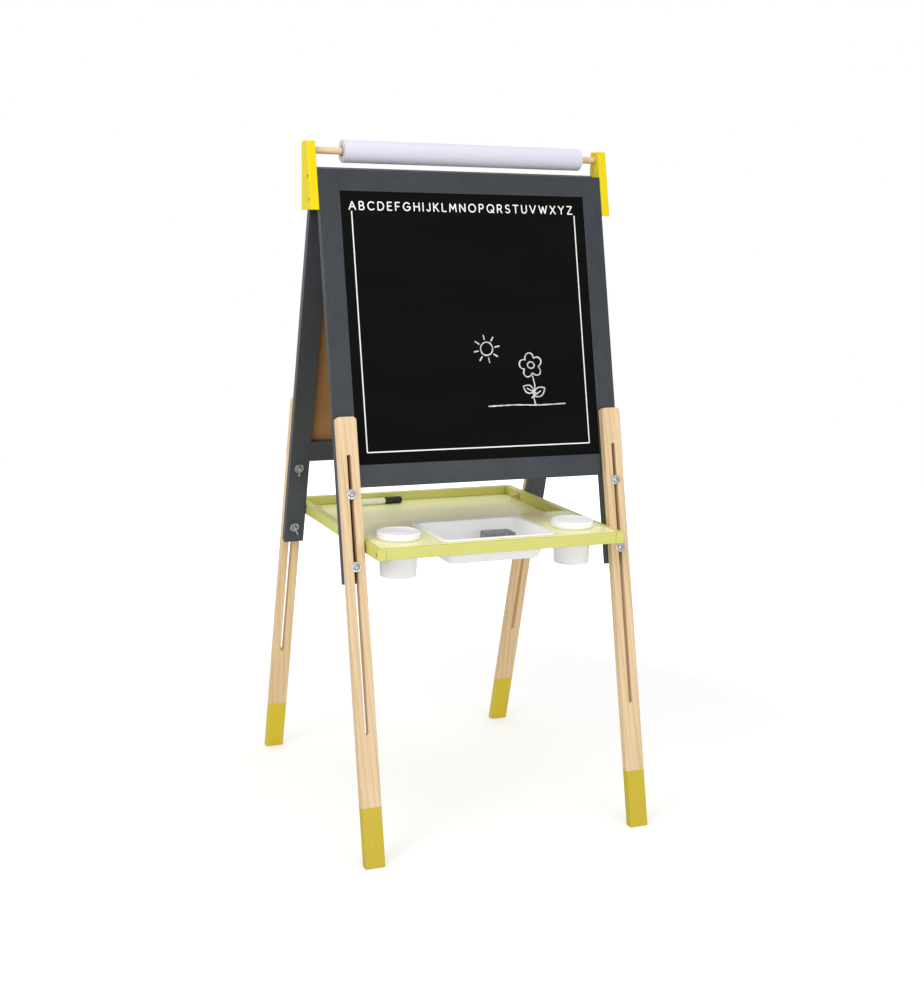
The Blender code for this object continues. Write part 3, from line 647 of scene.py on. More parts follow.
BRACKET_PAINT = PaintedWood("yellow_gloss_paint", YELLOW, 0.42, 1.5, Grain.UP_FRONT, YELLOW_WORN, 0.2)
FOOT_PAINTS = {
    "front": PaintedWood("foot_paint_front", FRONT_FOOT, 0.42, 1.5, Grain.UP_FRONT, FOOT_WORN),
    "rear": PaintedWood("foot_paint_rear", REAR_FOOT, 0.42, 1.5, Grain.UP_REAR, FOOT_WORN),
}
LEG_PINE = {
    "front": SealedPine("sealed_pine_front", "#DFC49A", 0.48, 1.5, Grain.UP_FRONT, "#C39863"),
    "rear": SealedPine("sealed_pine_rear", "#EBCD9E", 0.48, 1.5, Grain.UP_REAR),
}
ROUND_PINE = SealedPine("turned_pine", "#DEC3A0", 0.5, 1.5, Grain.ACROSS, "#C99A62", 4 * MM)
CHALKBOARD = ChalkboardPaint("matt_chalkboard_paint", "#070808", 0.80)
WHITEBOARD = DryEraseLaminate("dry_erase_laminate", "#F2F3F3", 0.12)
BOARD_BACK = Hardboard("hardboard_back", "#A87B45", 0.78)
ZINC = ZincPlate("zinc_plated_steel", "#BDBEC0", 0.32)
DARK_STEEL = ZincPlate("blackened_steel", "#24221C", 0.55)
POT_PLASTIC = Polypropylene("white_polypropylene", "#FDFDFE", 0.30, 1.49)
MARKER_WHITE = MouldedStyrene("marker_white_styrene", "#EEF0EA", 0.28)
MARKER_BLACK = MouldedStyrene("marker_black_styrene", "#050505", 0.34)
PAPER = DrawingPaper("drawing_paper", "#D4D2DE", 0.86)
CARD = CardTube("wound_card", "#B0926B", 0.85)
FELT = WoolFelt("wool_felt", "#4A4D50", 0.95)
INK = ScreenInk("screen_ink", "#F4F5F3", 0.55)
CHALK = ChalkMark("stick_chalk", "#E9EAE8", 0.95)
FLOOR = StudioFloor("studio_floor", "#D6D6D6", 1.0)


# ---------------------------------------------------------------- shapes


def fillet(points: Sequence[Point2], radius: float, steps: int = 4, closed: bool = True) -> Outline:
    """Rounds the corners of an outline.

    Args:
        points: the outline's corners in order.
        radius: the radius at each corner, made smaller where its sides are short.
        steps: the number of segments in each arc.
        closed: whether the last corner joins the first.

    Returns:
        The rounded outline.
    """
    corners = [Vector(p) for p in points]
    count = len(corners)
    made: Outline = []
    for i, corner in enumerate(corners):
        if not closed and i in (0, count - 1):
            made.append(tuple(corner))
            continue
        before, after = corners[i - 1] - corner, corners[(i + 1) % count] - corner
        shortest = min(before.length, after.length)
        before.normalize()
        after.normalize()
        opening = before.angle(after)
        if opening > math.radians(175):
            made.append(tuple(corner))
            continue
        reach = min(radius / math.tan(opening / 2), shortest * 0.45)
        arc_r = reach * math.tan(opening / 2)
        centre = corner + (before + after).normalized() * (arc_r / math.sin(opening / 2))
        start, end = corner + before * reach - centre, corner + after * reach - centre
        for k in range(steps + 1):
            at = start.slerp(end, k / steps).normalized() * arc_r
            made.append(tuple(centre + at))
    return made


def arc(cx: float, cy: float, rx: float, ry: float, start: float, end: float, steps: int) -> Outline:
    """Points along part of an ellipse, both ends included.

    Args:
        cx: the centre's first coordinate.
        cy: the centre's second coordinate.
        rx: the half width.
        ry: the half height.
        start: the first angle in degrees.
        end: the last angle in degrees.
        steps: the number of segments.

    Returns:
        The points in order.
    """
    turn = [math.radians(start + (end - start) * i / steps) for i in range(steps + 1)]
    return [(cx + rx * math.cos(t), cy + ry * math.sin(t)) for t in turn]


def round_rect(half_x: float, half_y: float, radius: float, steps: int = 8) -> Outline:
    """The outline of a rectangle about the origin, with round corners.

    Args:
        half_x: half its width.
        half_y: half its depth.
        radius: its corners' radius.
        steps: the number of segments in each corner.

    Returns:
        The points in order.
    """
    x, y = half_x - radius, half_y - radius
    made: Outline = []
    for i, (sx, sy) in enumerate(((1, 1), (-1, 1), (-1, -1), (1, -1))):
        made += arc(sx * x, sy * y, radius, radius, 90 * i, 90 * i + 90, steps)
    return made


def lathe(profile: Sequence[Point2], sides: int = 48) -> bmesh.types.BMesh:
    """Turns a closed (radius, height) outline about +Z.

    Args:
        profile: the outline; points on the axis are shared.
        sides: how many flats the round has.

    Returns:
        The closed shape.
    """
    bm = bmesh.new()
    verts = [bm.verts.new((r, 0, z)) for r, z in profile]
    pairs = [(verts[i], verts[i - 1]) for i in range(len(verts))]
    edges = [bm.edges.new(pair) for pair in pairs if max(v.co.x for v in pair) > 1e-6]
    bmesh.ops.spin(
        bm, geom=verts + edges, axis=(0, 0, 1), cent=(0, 0, 0), angle=math.tau, steps=sides
    )
    bmesh.ops.remove_doubles(bm, verts=bm.verts, dist=1e-6)
    loose = [v for v in bm.verts if not v.link_faces]
    bmesh.ops.delete(bm, geom=loose, context="VERTS")
    bmesh.ops.recalc_face_normals(bm, faces=bm.faces)
    return bm


def loft(rings: Sequence[tuple[Outline, float]]) -> bmesh.types.BMesh:
    """Skins rings of equal length, each an outline at a height, and caps both ends.

    Args:
        rings: the outlines with their heights, in order along the skin.

    Returns:
        The closed shape.
    """
    bm = bmesh.new()
    rows = [[bm.verts.new((x, y, z)) for x, y in outline] for outline, z in rings]
    for lower, upper in zip(rows, rows[1:]):
        for i in range(len(lower)):
            bm.faces.new((lower[i - 1], lower[i], upper[i], upper[i - 1]))
    bm.faces.new(rows[0])
    bm.faces.new(rows[-1])
    bmesh.ops.recalc_face_normals(bm, faces=bm.faces)
    return bm


def slab(outline: Outline, thickness: float, ease: float, holes: Iterable[Outline] = ()) -> bmesh.types.BMesh:
    """A flat piece cut to an outline, with its edges eased round on both faces.

    Args:
        outline: its edge in the XY plane.
        thickness: how thick it is, from z = 0 up.
        ease: the radius of its edges.
        holes: the outlines cut through it.

    Returns:
        The closed shape.
    """
    curve = bpy.data.curves.new("outline", "CURVE")
    curve.dimensions = "2D"
    curve.fill_mode = "BOTH"
    for loop in (outline, *holes):
        line = curve.splines.new("POLY")
        line.points.add(len(loop) - 1)
        for point, (x, y) in zip(line.points, loop):
            point.co = (x, y, 0, 1)
        line.use_cyclic_u = True
    curve.extrude = thickness / 2 - ease
    curve.bevel_depth = ease
    curve.bevel_resolution = 2
    curve.offset = -ease
    holder = bpy.data.objects.new("outline", curve)
    bpy.context.scene.collection.objects.link(holder)
    bpy.context.view_layer.update()
    mesh = bpy.data.meshes.new_from_object(holder.evaluated_get(bpy.context.evaluated_depsgraph_get()))
    bm = bmesh.new()
    bm.from_mesh(mesh)
    bpy.data.objects.remove(holder)
    bpy.data.curves.remove(curve)
    bpy.data.meshes.remove(mesh)
    bmesh.ops.remove_doubles(bm, verts=bm.verts, dist=1e-6)
    bmesh.ops.recalc_face_normals(bm, faces=bm.faces)
    bmesh.ops.translate(bm, verts=bm.verts, vec=(0, 0, thickness / 2))
    return bm


def merged(shapes: Iterable[bmesh.types.BMesh]) -> bmesh.types.BMesh:
    """Several shapes as one, each still closed by itself."""
    whole = bmesh.new()
    for shape in shapes:
        mesh = bpy.data.meshes.new("part")
        shape.to_mesh(mesh)
        shape.free()
        whole.from_mesh(mesh)
        bpy.data.meshes.remove(mesh)
    return whole


def put(bm: bmesh.types.BMesh, matrix: Matrix) -> bmesh.types.BMesh:
    """The shape moved by a matrix."""
    bm.transform(matrix)
    return bm


def facing(at: Vector, towards: Vector, spin: float = 0.0) -> Matrix:
    """A matrix that stands +Z along a direction at a point.

    Args:
        at: where the origin goes.
        towards: where +Z points.
        spin: a turn about that direction, in radians.

    Returns:
        The matrix.
    """
    turn = Vector((0, 0, 1)).rotation_difference(Vector(towards)).to_matrix().to_4x4()
    return Matrix.Translation(at) @ turn @ Matrix.Rotation(spin, 4, "Z")


def linked(name: str, mesh: bpy.types.Mesh) -> Object:
    """A new object in the scene that holds a mesh."""
    made = bpy.data.objects.new(name, mesh)
    bpy.context.scene.collection.objects.link(made)
    return made


def finished(
    name: str, bm: bmesh.types.BMesh, finishes: Sequence[Finish], sharp: float = 35.0
) -> Object:
    """Makes a shape into a piece at the origin, shaded smooth up to a crease angle.

    Args:
        name: the piece's name.
        bm: its shape in the easel's frame.
        finishes: its finishes, by the faces' material numbers.
        sharp: the crease angle in degrees.

    Returns:
        The piece.
    """
    mesh = bpy.data.meshes.new(name)
    bm.to_mesh(mesh)
    bm.free()
    for finish in finishes:
        mesh.materials.append(finish.material())
    mesh.shade_smooth()
    mesh.set_sharp_from_angle(angle=math.radians(sharp))
    return linked(name, mesh)


def settle(piece: Object) -> Object:
    """Turns a piece's modifiers into plain mesh."""
    bpy.context.view_layer.update()
    graph = bpy.context.evaluated_depsgraph_get()
    made = bpy.data.meshes.new_from_object(piece.evaluated_get(graph), depsgraph=graph)
    piece.modifiers.clear()
    old, piece.data = piece.data, made
    bpy.data.meshes.remove(old)
    made.name = piece.name
    return piece


def soften(piece: Object, ease: float, steps: int = 3, limit: float = 30.0) -> Object:
    """Rounds a piece's sharp edges and keeps its flat faces looking flat.

    Args:
        piece: the piece.
        ease: the width of the rounding.
        steps: the number of segments in it.
        limit: edges flatter than this many degrees stay as they are.

    Returns:
        The piece, with plain mesh.
    """
    edge = piece.modifiers.new("eased edges", "BEVEL")
    edge.width, edge.segments = ease, steps
    edge.limit_method, edge.angle_limit = "ANGLE", math.radians(limit)
    edge.use_clamp_overlap = True
    edge.miter_outer = "MITER_ARC"
    flat = piece.modifiers.new("flat faces", "WEIGHTED_NORMAL")
    flat.keep_sharp = True
    return settle(piece)


def from_frame(name: str, node: str) -> bmesh.types.BMesh:
    """A merged copy of a frame piece, its flat faces whole again.

    Args:
        name: the new piece's name, for messages.
        node: the frame piece.

    Returns:
        The shape in the easel's frame.
    """
    bm = bmesh.new()
    bm.from_mesh(frame["nodes"][node].data)
    bmesh.ops.remove_doubles(bm, verts=bm.verts, dist=2e-6)
    bmesh.ops.dissolve_limit(bm, angle_limit=math.radians(0.6), verts=bm.verts, edges=bm.edges)
    for face in bm.faces:
        face.material_index = 0
    LOG.debug("%s starts from %s with %d faces", name, node, len(bm.faces))
    return bm


def board(name: str, node: str, finish: Finish, ease: float) -> Object:
    """A board of the frame with its edges eased and a finish on it.

    Args:
        name: the new piece's name.
        node: the frame piece whose shape it takes.
        finish: its finish.
        ease: the rounding of its edges.

    Returns:
        The piece.
    """
    return soften(finished(name, from_frame(name, node), [finish]), ease)


def fit(piece: Object, body: str, slot: str, *nodes: str) -> Object:
    """Lets a piece ride on a body in place of frame pieces, and reports it.

    Args:
        piece: the finished piece.
        body: the body that it moves with.
        slot: the record's material slot for its finish; not used.
        nodes: the frame pieces that it stands for.

    Returns:
        The piece.
    """
    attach(piece, body)
    if nodes:
        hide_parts(*nodes)
    LOG.info("%s rides on %s: %d faces", piece.name, body, len(piece.data.polygons))
    return piece


# ---------------------------------------------------------------- trees for what repeats


class TreeBuilder:
    """A geometry tree with named inputs, which ends in plain mesh of one finish."""

    def __init__(self, name: str, inputs: dict[str, str]) -> None:
        """Starts the tree.

        Args:
            name: the tree's name.
            inputs: the socket type of each named input, besides its geometry and finish.
        """
        self.tree = bpy.data.node_groups.new(name, "GeometryNodeTree")
        face = self.tree.interface
        face.new_socket("Geometry", in_out="INPUT", socket_type="NodeSocketGeometry")
        for label, kind in inputs.items():
            face.new_socket(label, in_out="INPUT", socket_type=kind)
        face.new_socket("Finish", in_out="INPUT", socket_type="NodeSocketMaterial")
        face.new_socket("Geometry", in_out="OUTPUT", socket_type="NodeSocketGeometry")
        self.start = add_node(self.tree, "NodeGroupInput")

    def read(self, label: str) -> bpy.types.NodeSocket:
        """The value of a named input."""
        return self.start.outputs[label]

    def node(self, kind: str, sockets: dict | None = None, **settings) -> bpy.types.Node:
        """A node in this tree."""
        return add_node(self.tree, kind, sockets, **settings)

    def end(self, geometry: bpy.types.NodeSocket) -> Tree:
        """Closes the tree on a geometry.

        Args:
            geometry: what the tree makes.

        Returns:
            The finished tree.
        """
        real = self.node("GeometryNodeRealizeInstances", {"Geometry": geometry}).outputs[0]
        dressed = self.node(
            "GeometryNodeSetMaterial", {"Geometry": real, "Material": self.read("Finish")}
        ).outputs[0]
        self.node("NodeGroupOutput", {"Geometry": dressed})
        return self.tree


def grow(name: str, tree: Tree, start: bpy.types.Mesh, inputs: dict[str, object]) -> Object:
    """Runs a tree on a mesh and keeps what it makes as a plain piece.

    Args:
        name: the piece's name.
        tree: the tree.
        start: the points or edges that it starts from.
        inputs: its named inputs' values.

    Returns:
        The piece at the origin.
    """
    piece = linked(name, start)
    step = piece.modifiers.new("grow", "NODES")
    step.node_group = tree
    for item in tree.interface.items_tree:
        if item.item_type == "SOCKET" and item.in_out == "INPUT" and item.name in inputs:
            step[item.identifier] = inputs[item.name]
    settle(piece)
    piece.data.shade_smooth()
    piece.data.set_sharp_from_angle(angle=math.radians(35))
    return piece


def fixing_tree() -> Tree:
    """Stands a copy of a small part on each point, along the point's facing, at a chance turn."""
    found = bpy.data.node_groups.get("fixings on points")
    if found:
        return found
    build = TreeBuilder(
        "fixings on points",
        {"Part": "NodeSocketObject", "Size": "NodeSocketFloat", "Seed": "NodeSocketInt"},
    )
    way = build.node("GeometryNodeInputNamedAttribute", {"Name": "facing"}, data_type="FLOAT_VECTOR")
    stand = build.node("FunctionNodeAlignRotationToVector", {"Vector": way.outputs[0]}, axis="Z")
    part = build.node("GeometryNodeObjectInfo", {"Object": build.read("Part")})
    placed = build.node(
        "GeometryNodeInstanceOnPoints",
        {
            "Points": build.read("Geometry"),
            "Instance": part.outputs["Geometry"],
            "Rotation": stand.outputs[0],
            "Scale": build.read("Size"),
        },
    )
    turn = build.node(
        "FunctionNodeRandomValue",
        {"Min": (0.0, 0.0, 0.0), "Max": (0.0, 0.0, math.pi / 2), "Seed": build.read("Seed")},
        data_type="FLOAT_VECTOR",
    )
    spun = build.node(
        "GeometryNodeRotateInstances", {"Instances": placed.outputs[0], "Rotation": turn.outputs[0]}
    )
    return build.end(spun.outputs[0])


def stroke_tree() -> Tree:
    """Draws lines of ink or chalk on a flat board: flattened beads with round ends."""
    found = bpy.data.node_groups.get("drawn strokes")
    if found:
        return found
    build = TreeBuilder(
        "drawn strokes",
        {
            "Line Width": "NodeSocketFloat",
            "Height": "NodeSocketFloat",
            "Unevenness": "NodeSocketFloat",
            "Step": "NodeSocketFloat",
        },
    )
    lines = build.node("GeometryNodeMeshToCurve", {0: build.read("Geometry")}).outputs[0]
    even = build.node(
        "GeometryNodeResampleCurve", {"Curve": lines, "Length": build.read("Step")}, mode="LENGTH"
    ).outputs[0]
    noise_at = build.node("ShaderNodeTexNoise", {"Scale": 1 / (9 * MM), "Detail": 3.0}).outputs[0]
    swing = build.node(
        "ShaderNodeMapRange", {"Value": noise_at, 1: 0.3, 2: 0.7, 3: -1.0, 4: 1.0}
    ).outputs[0]
    share = build.node(
        "ShaderNodeMath", {0: swing, 1: build.read("Unevenness"), 2: 1.0}, operation="MULTIPLY_ADD"
    ).outputs[0]
    half = build.node(
        "ShaderNodeMath", {0: build.read("Line Width"), 1: 0.5}, operation="MULTIPLY"
    ).outputs[0]
    radius = build.node("ShaderNodeMath", {0: share, 1: half}, operation="MULTIPLY").outputs[0]
    round_line = build.node("GeometryNodeSetCurveRadius", {"Curve": even, "Radius": radius}).outputs[0]
    ring = build.node("GeometryNodeCurvePrimitiveCircle", {"Resolution": 8, "Radius": 1.0}).outputs[0]
    bead = build.node(
        "GeometryNodeCurveToMesh",
        {"Curve": round_line, "Profile Curve": ring, "Scale": radius, "Fill Caps": True},
    ).outputs[0]
    ends = build.node("GeometryNodeCurveEndpointSelection", {"Start Size": 1, "End Size": 1})
    ball = build.node(
        "GeometryNodeMeshUVSphere", {"Segments": 10, "Rings": 6, "Radius": 1.0}
    ).outputs[0]
    knobs = build.node(
        "GeometryNodeInstanceOnPoints",
        {"Points": even, "Selection": ends.outputs[0], "Instance": ball, "Scale": radius},
    ).outputs[0]
    real = build.node("GeometryNodeRealizeInstances", {"Geometry": knobs}).outputs[0]
    both = build.node("GeometryNodeJoinGeometry")
    for part in (bead, real):
        build.tree.links.new(part, both.inputs[0])
    at = build.node("ShaderNodeSeparateXYZ", {0: build.node("GeometryNodeInputPosition").outputs[0]})
    flat = build.node(
        "ShaderNodeMath", {0: build.read("Height"), 1: build.read("Line Width")}, operation="DIVIDE"
    ).outputs[0]
    pressed = build.node(
        "ShaderNodeMath", {0: at.outputs["Y"], 1: flat}, operation="MULTIPLY"
    ).outputs[0]
    new_at = build.node(
        "ShaderNodeCombineXYZ", {"X": at.outputs["X"], "Y": pressed, "Z": at.outputs["Z"]}
    ).outputs[0]
    laid = build.node("GeometryNodeSetPosition", {"Geometry": both.outputs[0], "Position": new_at})
    return build.end(laid.outputs[0])


def wound_tree() -> Tree:
    """Winds a sheet into a roll about X: one long spiral of real thickness with open ends."""
    build = TreeBuilder(
        "wound sheet",
        {
            "Turns": "NodeSocketFloat",
            "Core Radius": "NodeSocketFloat",
            "Outer Radius": "NodeSocketFloat",
            "Width": "NodeSocketFloat",
            "Sheet": "NodeSocketFloat",
        },
    )
    spiral = build.node(
        "GeometryNodeCurveSpiral",
        {
            "Resolution": 72,
            "Rotations": build.read("Turns"),
            "Start Radius": build.read("Core Radius"),
            "End Radius": build.read("Outer Radius"),
            "Height": 0.0,
        },
    ).outputs[0]
    stood = build.node("GeometryNodeSetCurveNormal", {"Curve": spiral}, mode="Z_UP").outputs[0]
    section = build.node(
        "GeometryNodeCurvePrimitiveQuadrilateral",
        {"Width": build.read("Sheet"), "Height": build.read("Width")},
    ).outputs[0]
    sheet = build.node(
        "GeometryNodeCurveToMesh", {"Curve": stood, "Profile Curve": section, "Fill Caps": True}
    ).outputs[0]
    lying = build.node(
        "GeometryNodeTransform", {"Geometry": sheet, "Rotation": (0.0, math.pi / 2, 0.0)}
    ).outputs[0]
    return build.end(lying)


def points_mesh(points: Iterable[tuple[Vector, Vector]]) -> bpy.types.Mesh:
    """Loose points that each know which way they face.

    Args:
        points: places with their directions.

    Returns:
        The mesh, with the directions in its "facing" attribute.
    """
    pairs = list(points)
    mesh = bpy.data.meshes.new("points")
    mesh.from_pydata([at for at, _ in pairs], [], [])
    ways = mesh.attributes.new("facing", "FLOAT_VECTOR", "POINT")
    for item, (_, way) in zip(ways.data, pairs):
        item.vector = way
    return mesh


def scatter(
    name: str,
    part: bmesh.types.BMesh,
    points: Iterable[tuple[Vector, Vector]],
    finish: Finish,
    seed: int = 1,
) -> Object:
    """One piece made of a small part repeated at points.

    Args:
        name: the piece's name.
        part: the small part, standing along +Z at the origin; it is used up.
        points: places with the directions that they face.
        finish: the finish of every copy.
        seed: what the copies' chance turns start from.

    Returns:
        The piece.
    """
    mesh = bpy.data.meshes.new("small part")
    part.to_mesh(mesh)
    part.free()
    master = linked("small part", mesh)
    inputs = {"Part": master, "Size": 1.0, "Seed": seed, "Finish": finish.material()}
    piece = grow(name, fixing_tree(), points_mesh(points), inputs)
    bpy.data.objects.remove(master)
    bpy.data.meshes.remove(mesh)
    return piece


# ---------------------------------------------------------------- small shared parts


@dataclass(frozen=True)
class CountersunkScrew:
    """A countersunk cross-recess wood screw: only its head shows.

    Attributes:
        head: the head's radius.
        depth: how deep the head's cone goes.
        recess: half the width of the cross.
    """

    head: float = 3.4 * MM
    depth: float = 1.8 * MM
    recess: float = 1.9 * MM

    def shape(self) -> bmesh.types.BMesh:
        """The head, its flat face at z = 0 and facing +Z."""
        profile = [(0, 0.05 * MM), (self.head - 0.3 * MM, 0), (self.head, -0.15 * MM),
                   (1.5 * MM, -self.depth), (0, -self.depth)]
        return crossed(lathe(profile, 24), self.recess, 0.5 * MM, -0.9 * MM)


def cut(body: bmesh.types.BMesh, tool: bmesh.types.BMesh) -> bmesh.types.BMesh:
    """What is left of a shape after a tool is taken out of it; both are used up."""
    things = []
    for bm in (body, tool):
        mesh = bpy.data.meshes.new("cut")
        bm.to_mesh(mesh)
        bm.free()
        things.append(linked("cut", mesh))
    step = things[0].modifiers.new("cut", "BOOLEAN")
    step.operation, step.solver, step.object = "DIFFERENCE", "EXACT", things[1]
    bpy.context.view_layer.update()
    left = bmesh.new()
    left.from_object(things[0], bpy.context.evaluated_depsgraph_get())
    for thing in things:
        mesh = thing.data
        bpy.data.objects.remove(thing)
        bpy.data.meshes.remove(mesh)
    return left


def countersunk(
    body: bmesh.types.BMesh, spots: Iterable[tuple[Vector, Vector]], radius: float
) -> bmesh.types.BMesh:
    """A board with a shallow seat for a screw head at each spot.

    Args:
        body: the board.
        spots: the heads' places, each with the way that it faces.
        radius: the heads' radius.
    """
    for at, way in spots:
        r = radius + 0.2 * MM
        seat = lathe([(0, -0.9 * MM), (r, -0.9 * MM), (r + 0.4 * MM, 1.0 * MM), (0, 1.0 * MM)], 28)
        body = cut(body, put(seat, facing(at, way)))
    return body


def crossed(head: bmesh.types.BMesh, reach: float, half: float, floor: float) -> bmesh.types.BMesh:
    """A screw or bolt head with a cross recess cut into its top.

    Args:
        head: the head, facing +Z.
        reach: how far the cross's arms reach.
        half: half the arms' width.
        floor: the height of the recess's bottom.

    Returns:
        The cut head.
    """
    bars = []
    for turn in (0.0, math.pi / 2):
        bar = bmesh.new()
        bmesh.ops.create_cube(bar, size=1)
        for vert in bar.verts:
            taper = 0.55 if vert.co.z < 0 else 1.0
            vert.co = (
                vert.co.x * 2 * reach * taper, vert.co.y * 2 * half * taper,
                floor if vert.co.z < 0 else 6 * MM,
            )
        bars.append(put(bar, Matrix.Rotation(turn, 4, "Z")))
    for bar in bars:
        head = cut(head, bar)
    return head


@dataclass(frozen=True)
class LegBolt:
    """An M6 machine bolt with a domed cross-recess head, its washer and its rolled thread.

    Attributes:
        head: the head's radius.
        dome: the head's height.
        washer: the washer's radius.
        washer_t: the washer's thickness.
        shank: the thread's outer radius.
        pitch: the distance from one turn of thread to the next.
    """

    head: float = 6.8 * MM
    dome: float = 3.5 * MM
    washer: float = 8.9 * MM
    washer_t: float = 1.15 * MM
    shank: float = 3.0 * MM
    pitch: float = 1.0 * MM

    def shape(self, length: float) -> bmesh.types.BMesh:
        """The bolt with its washer's inner face at z = 0 and its head facing +Z.

        Args:
            length: how far the thread reaches below the washer.

        Returns:
            The bolt and the washer.
        """
        seat = self.washer_t + 0.03 * MM
        outline = [(0, seat + self.dome)]
        outline += [
            (self.head * math.sin(t), seat + 0.7 * MM + (self.dome - 0.7 * MM) * math.cos(t))
            for t in (math.radians(a) for a in range(12, 91, 13))
        ]
        outline += [(self.head, seat + 0.4 * MM), (self.head - 0.4 * MM, seat), (self.shank, seat)]
        outline += [(self.shank, -length + 8 * MM)]
        turns = int(7 * MM / self.pitch)
        for i in range(turns):
            top = -length + 8 * MM - i * self.pitch
            outline += [(self.shank, top - 0.2 * self.pitch), (self.shank - 0.55 * MM, top - 0.6 * self.pitch)]
        outline += [(self.shank - 0.3 * MM, -length + 0.6 * MM), (self.shank - 0.9 * MM, -length), (0, -length)]
        bolt = crossed(lathe(outline, 32), 3.4 * MM, 0.75 * MM, seat + 1.2 * MM)
        ring = fillet(
            [(self.shank + 0.25 * MM, 0), (self.washer, 0), (self.washer, self.washer_t),
             (self.shank + 0.25 * MM, self.washer_t)], 0.25 * MM, 3,
        )
        return merged([bolt, lathe(ring, 40)])


@dataclass(frozen=True)
class WingNut:
    """A cast wing nut over a washer: a tapered hub with two rounded ears.

    Attributes:
        hub: the hub's radius at its foot.
        height: the hub's height.
        span: how far the ears reach.
        ear_t: the ears' thickness.
    """

    hub: float = 5.7 * MM
    height: float = 7.4 * MM
    span: float = 12.6 * MM
    ear_t: float = 2.1 * MM

    def shape(self) -> bmesh.types.BMesh:
        """The nut and its washer, the washer's foot at z = 0 and the nut facing +Z."""
        bore, foot = 3.4 * MM, 1.2 * MM
        washer = fillet([(bore, 0), (8.9 * MM, 0), (8.9 * MM, foot - 0.05 * MM), (bore, foot - 0.05 * MM)], 0.25 * MM, 3)
        hub = fillet(
            [(bore, foot), (self.hub, foot), (self.hub - 1.1 * MM, foot + self.height),
             (bore, foot + self.height)], 0.6 * MM, 3,
        )
        shapes = [lathe(washer, 40), lathe(hub, 32)]
        for side in (-1, 1):
            corners = [(4.1, 2.4), (7.7, 3.3), (self.span / MM, 7.2), (13.0, 10.9), (11.2, 12.4),
                       (7.6, 11.2), (4.1, 7.6)]
            outline = fillet([(side * x * MM, z * MM) for x, z in corners], 1.6 * MM, 4)
            ear = slab(outline, self.ear_t, 0.7 * MM)
            upright = Matrix.Translation((0, self.ear_t / 2, 0)) @ Matrix.Rotation(math.pi / 2, 4, "X")
            shapes.append(put(ear, upright))
        return merged(shapes)


# ---------------------------------------------------------------- the easel's sub-assemblies


@dataclass(frozen=True)
class PaintedFrame:
    """One half's painted frame: stiles, rails, hinge leaves and the bolts through the legs.

    Attributes:
        half: the half that it belongs to.
        ease: the rounding left on the boards' edges by the paint.
        leaf_ease: the rounding of the hinge leaves' pressed edges.
    """

    half: Half
    ease: float = 0.45 * MM
    leaf_ease: float = 0.2 * MM

    @property
    def body(self) -> str:
        """The frame's body."""
        return f"{self.half.name}_frame"

    def boards(self) -> None:
        """The two stiles and the two rails."""
        name = self.half.name
        up = Grain.UP_FRONT if name == "front" else Grain.UP_REAR
        grains = {"stile_left": up, "stile_right": up, "top_rail": Grain.ACROSS, "bottom_rail": Grain.ACROSS}
        for part, grain in grains.items():
            node = f"{name}_{part}"
            piece = board(f"painted_{node}", node, grey_paint(grain, name), self.ease)
            fit(piece, self.body, "grey_paint", node)

    def hinges(self) -> None:
        """The leaves, and the two countersunk screws in each."""
        name = self.half.name
        spots = []
        for side, _ in SIDES:
            node = f"{name}_hinge_leaf_{side}"
            piece = board(f"zinc_{node}", node, ZINC, self.leaf_ease)
            fit(piece, self.body, "zinc_steel", node)
            low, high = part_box(node)
            for share in (0.22, 0.78):
                x = low.x + (high.x - low.x) * share
                into = self.half.matrix.inverted() @ Vector((x, 0, low.z))
                at = self.half.place(x, BOARD_T + GAP + 1.22 * MM, -(into.z + 9 * MM))
                spots.append((at, self.half.inwards))
            if name == "front":
                self.hinge_pin(side)
        screws = scatter(f"{name}_hinge_screws", CountersunkScrew(2.6 * MM, 1.0 * MM, 1.5 * MM).shape(), spots, ZINC, 5)
        fit(screws, self.body, "zinc_steel")

    def hinge_pin(self, side: str) -> None:
        """A hinge's pin, upset into a small dome at each end."""
        low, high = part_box(f"hinge_pin_{side}")
        half, r, thin = (high.x - low.x) / 2, (high.z - low.z) / 2, 1.3 * MM
        dome = arc(0, half - 1.2 * MM, r, 1.2 * MM, 90, 0, 5)
        profile = [*dome, (thin, half - 1.2 * MM)]
        profile += [(x, -z) for x, z in reversed(profile)]
        shape = put(lathe(profile, 28), facing(middle(f"hinge_pin_{side}"), Vector((1, 0, 0))))
        pin = finished(f"zinc_hinge_pin_{side}", shape, [ZINC])
        fit(pin, "front_frame", "zinc_steel", f"hinge_pin_{side}")

    def bolts(self) -> None:
        """The four leg bolts, whose heads are on the legs' outer faces."""
        seat = -16.3 * MM - GAP
        spots = [
            (self.half.place(sign * 0.257, seat, down), -self.half.inwards)
            for _, sign in SIDES
            for down in self.half.bolts
        ]
        nodes = [f"{self.half.name}_bolt_{side}_{row}" for side, _ in SIDES for row in ROWS]
        length = -seat + BOARD_T + 2 * GAP + 10.2 * MM
        bolts = scatter(f"{self.half.name}_leg_bolts", LegBolt().shape(length), spots, ZINC, 11)
        fit(bolts, self.body, "zinc_steel", *nodes)

    def wing_nuts(self) -> None:
        """The wing nuts, each on its own body."""
        for side, sign in SIDES:
            for row, down in zip(ROWS, self.half.bolts):
                node = f"{self.half.name}_wing_nut_{side}_{row}"
                spot = self.half.place(sign * 0.257, BOARD_T + GAP, down)
                spun = math.radians((65 if row == "upper" else 100) + (12 if side == "left" else 0))
                shape = put(WingNut().shape(), facing(spot, self.half.inwards, spun))
                fit(finished(f"zinc_{node}", shape, [ZINC]), node, "zinc_steel", node)

    def build(self) -> None:
        """Every piece of the frame."""
        self.boards()
        self.hinges()
        self.bolts()
        self.wing_nuts()


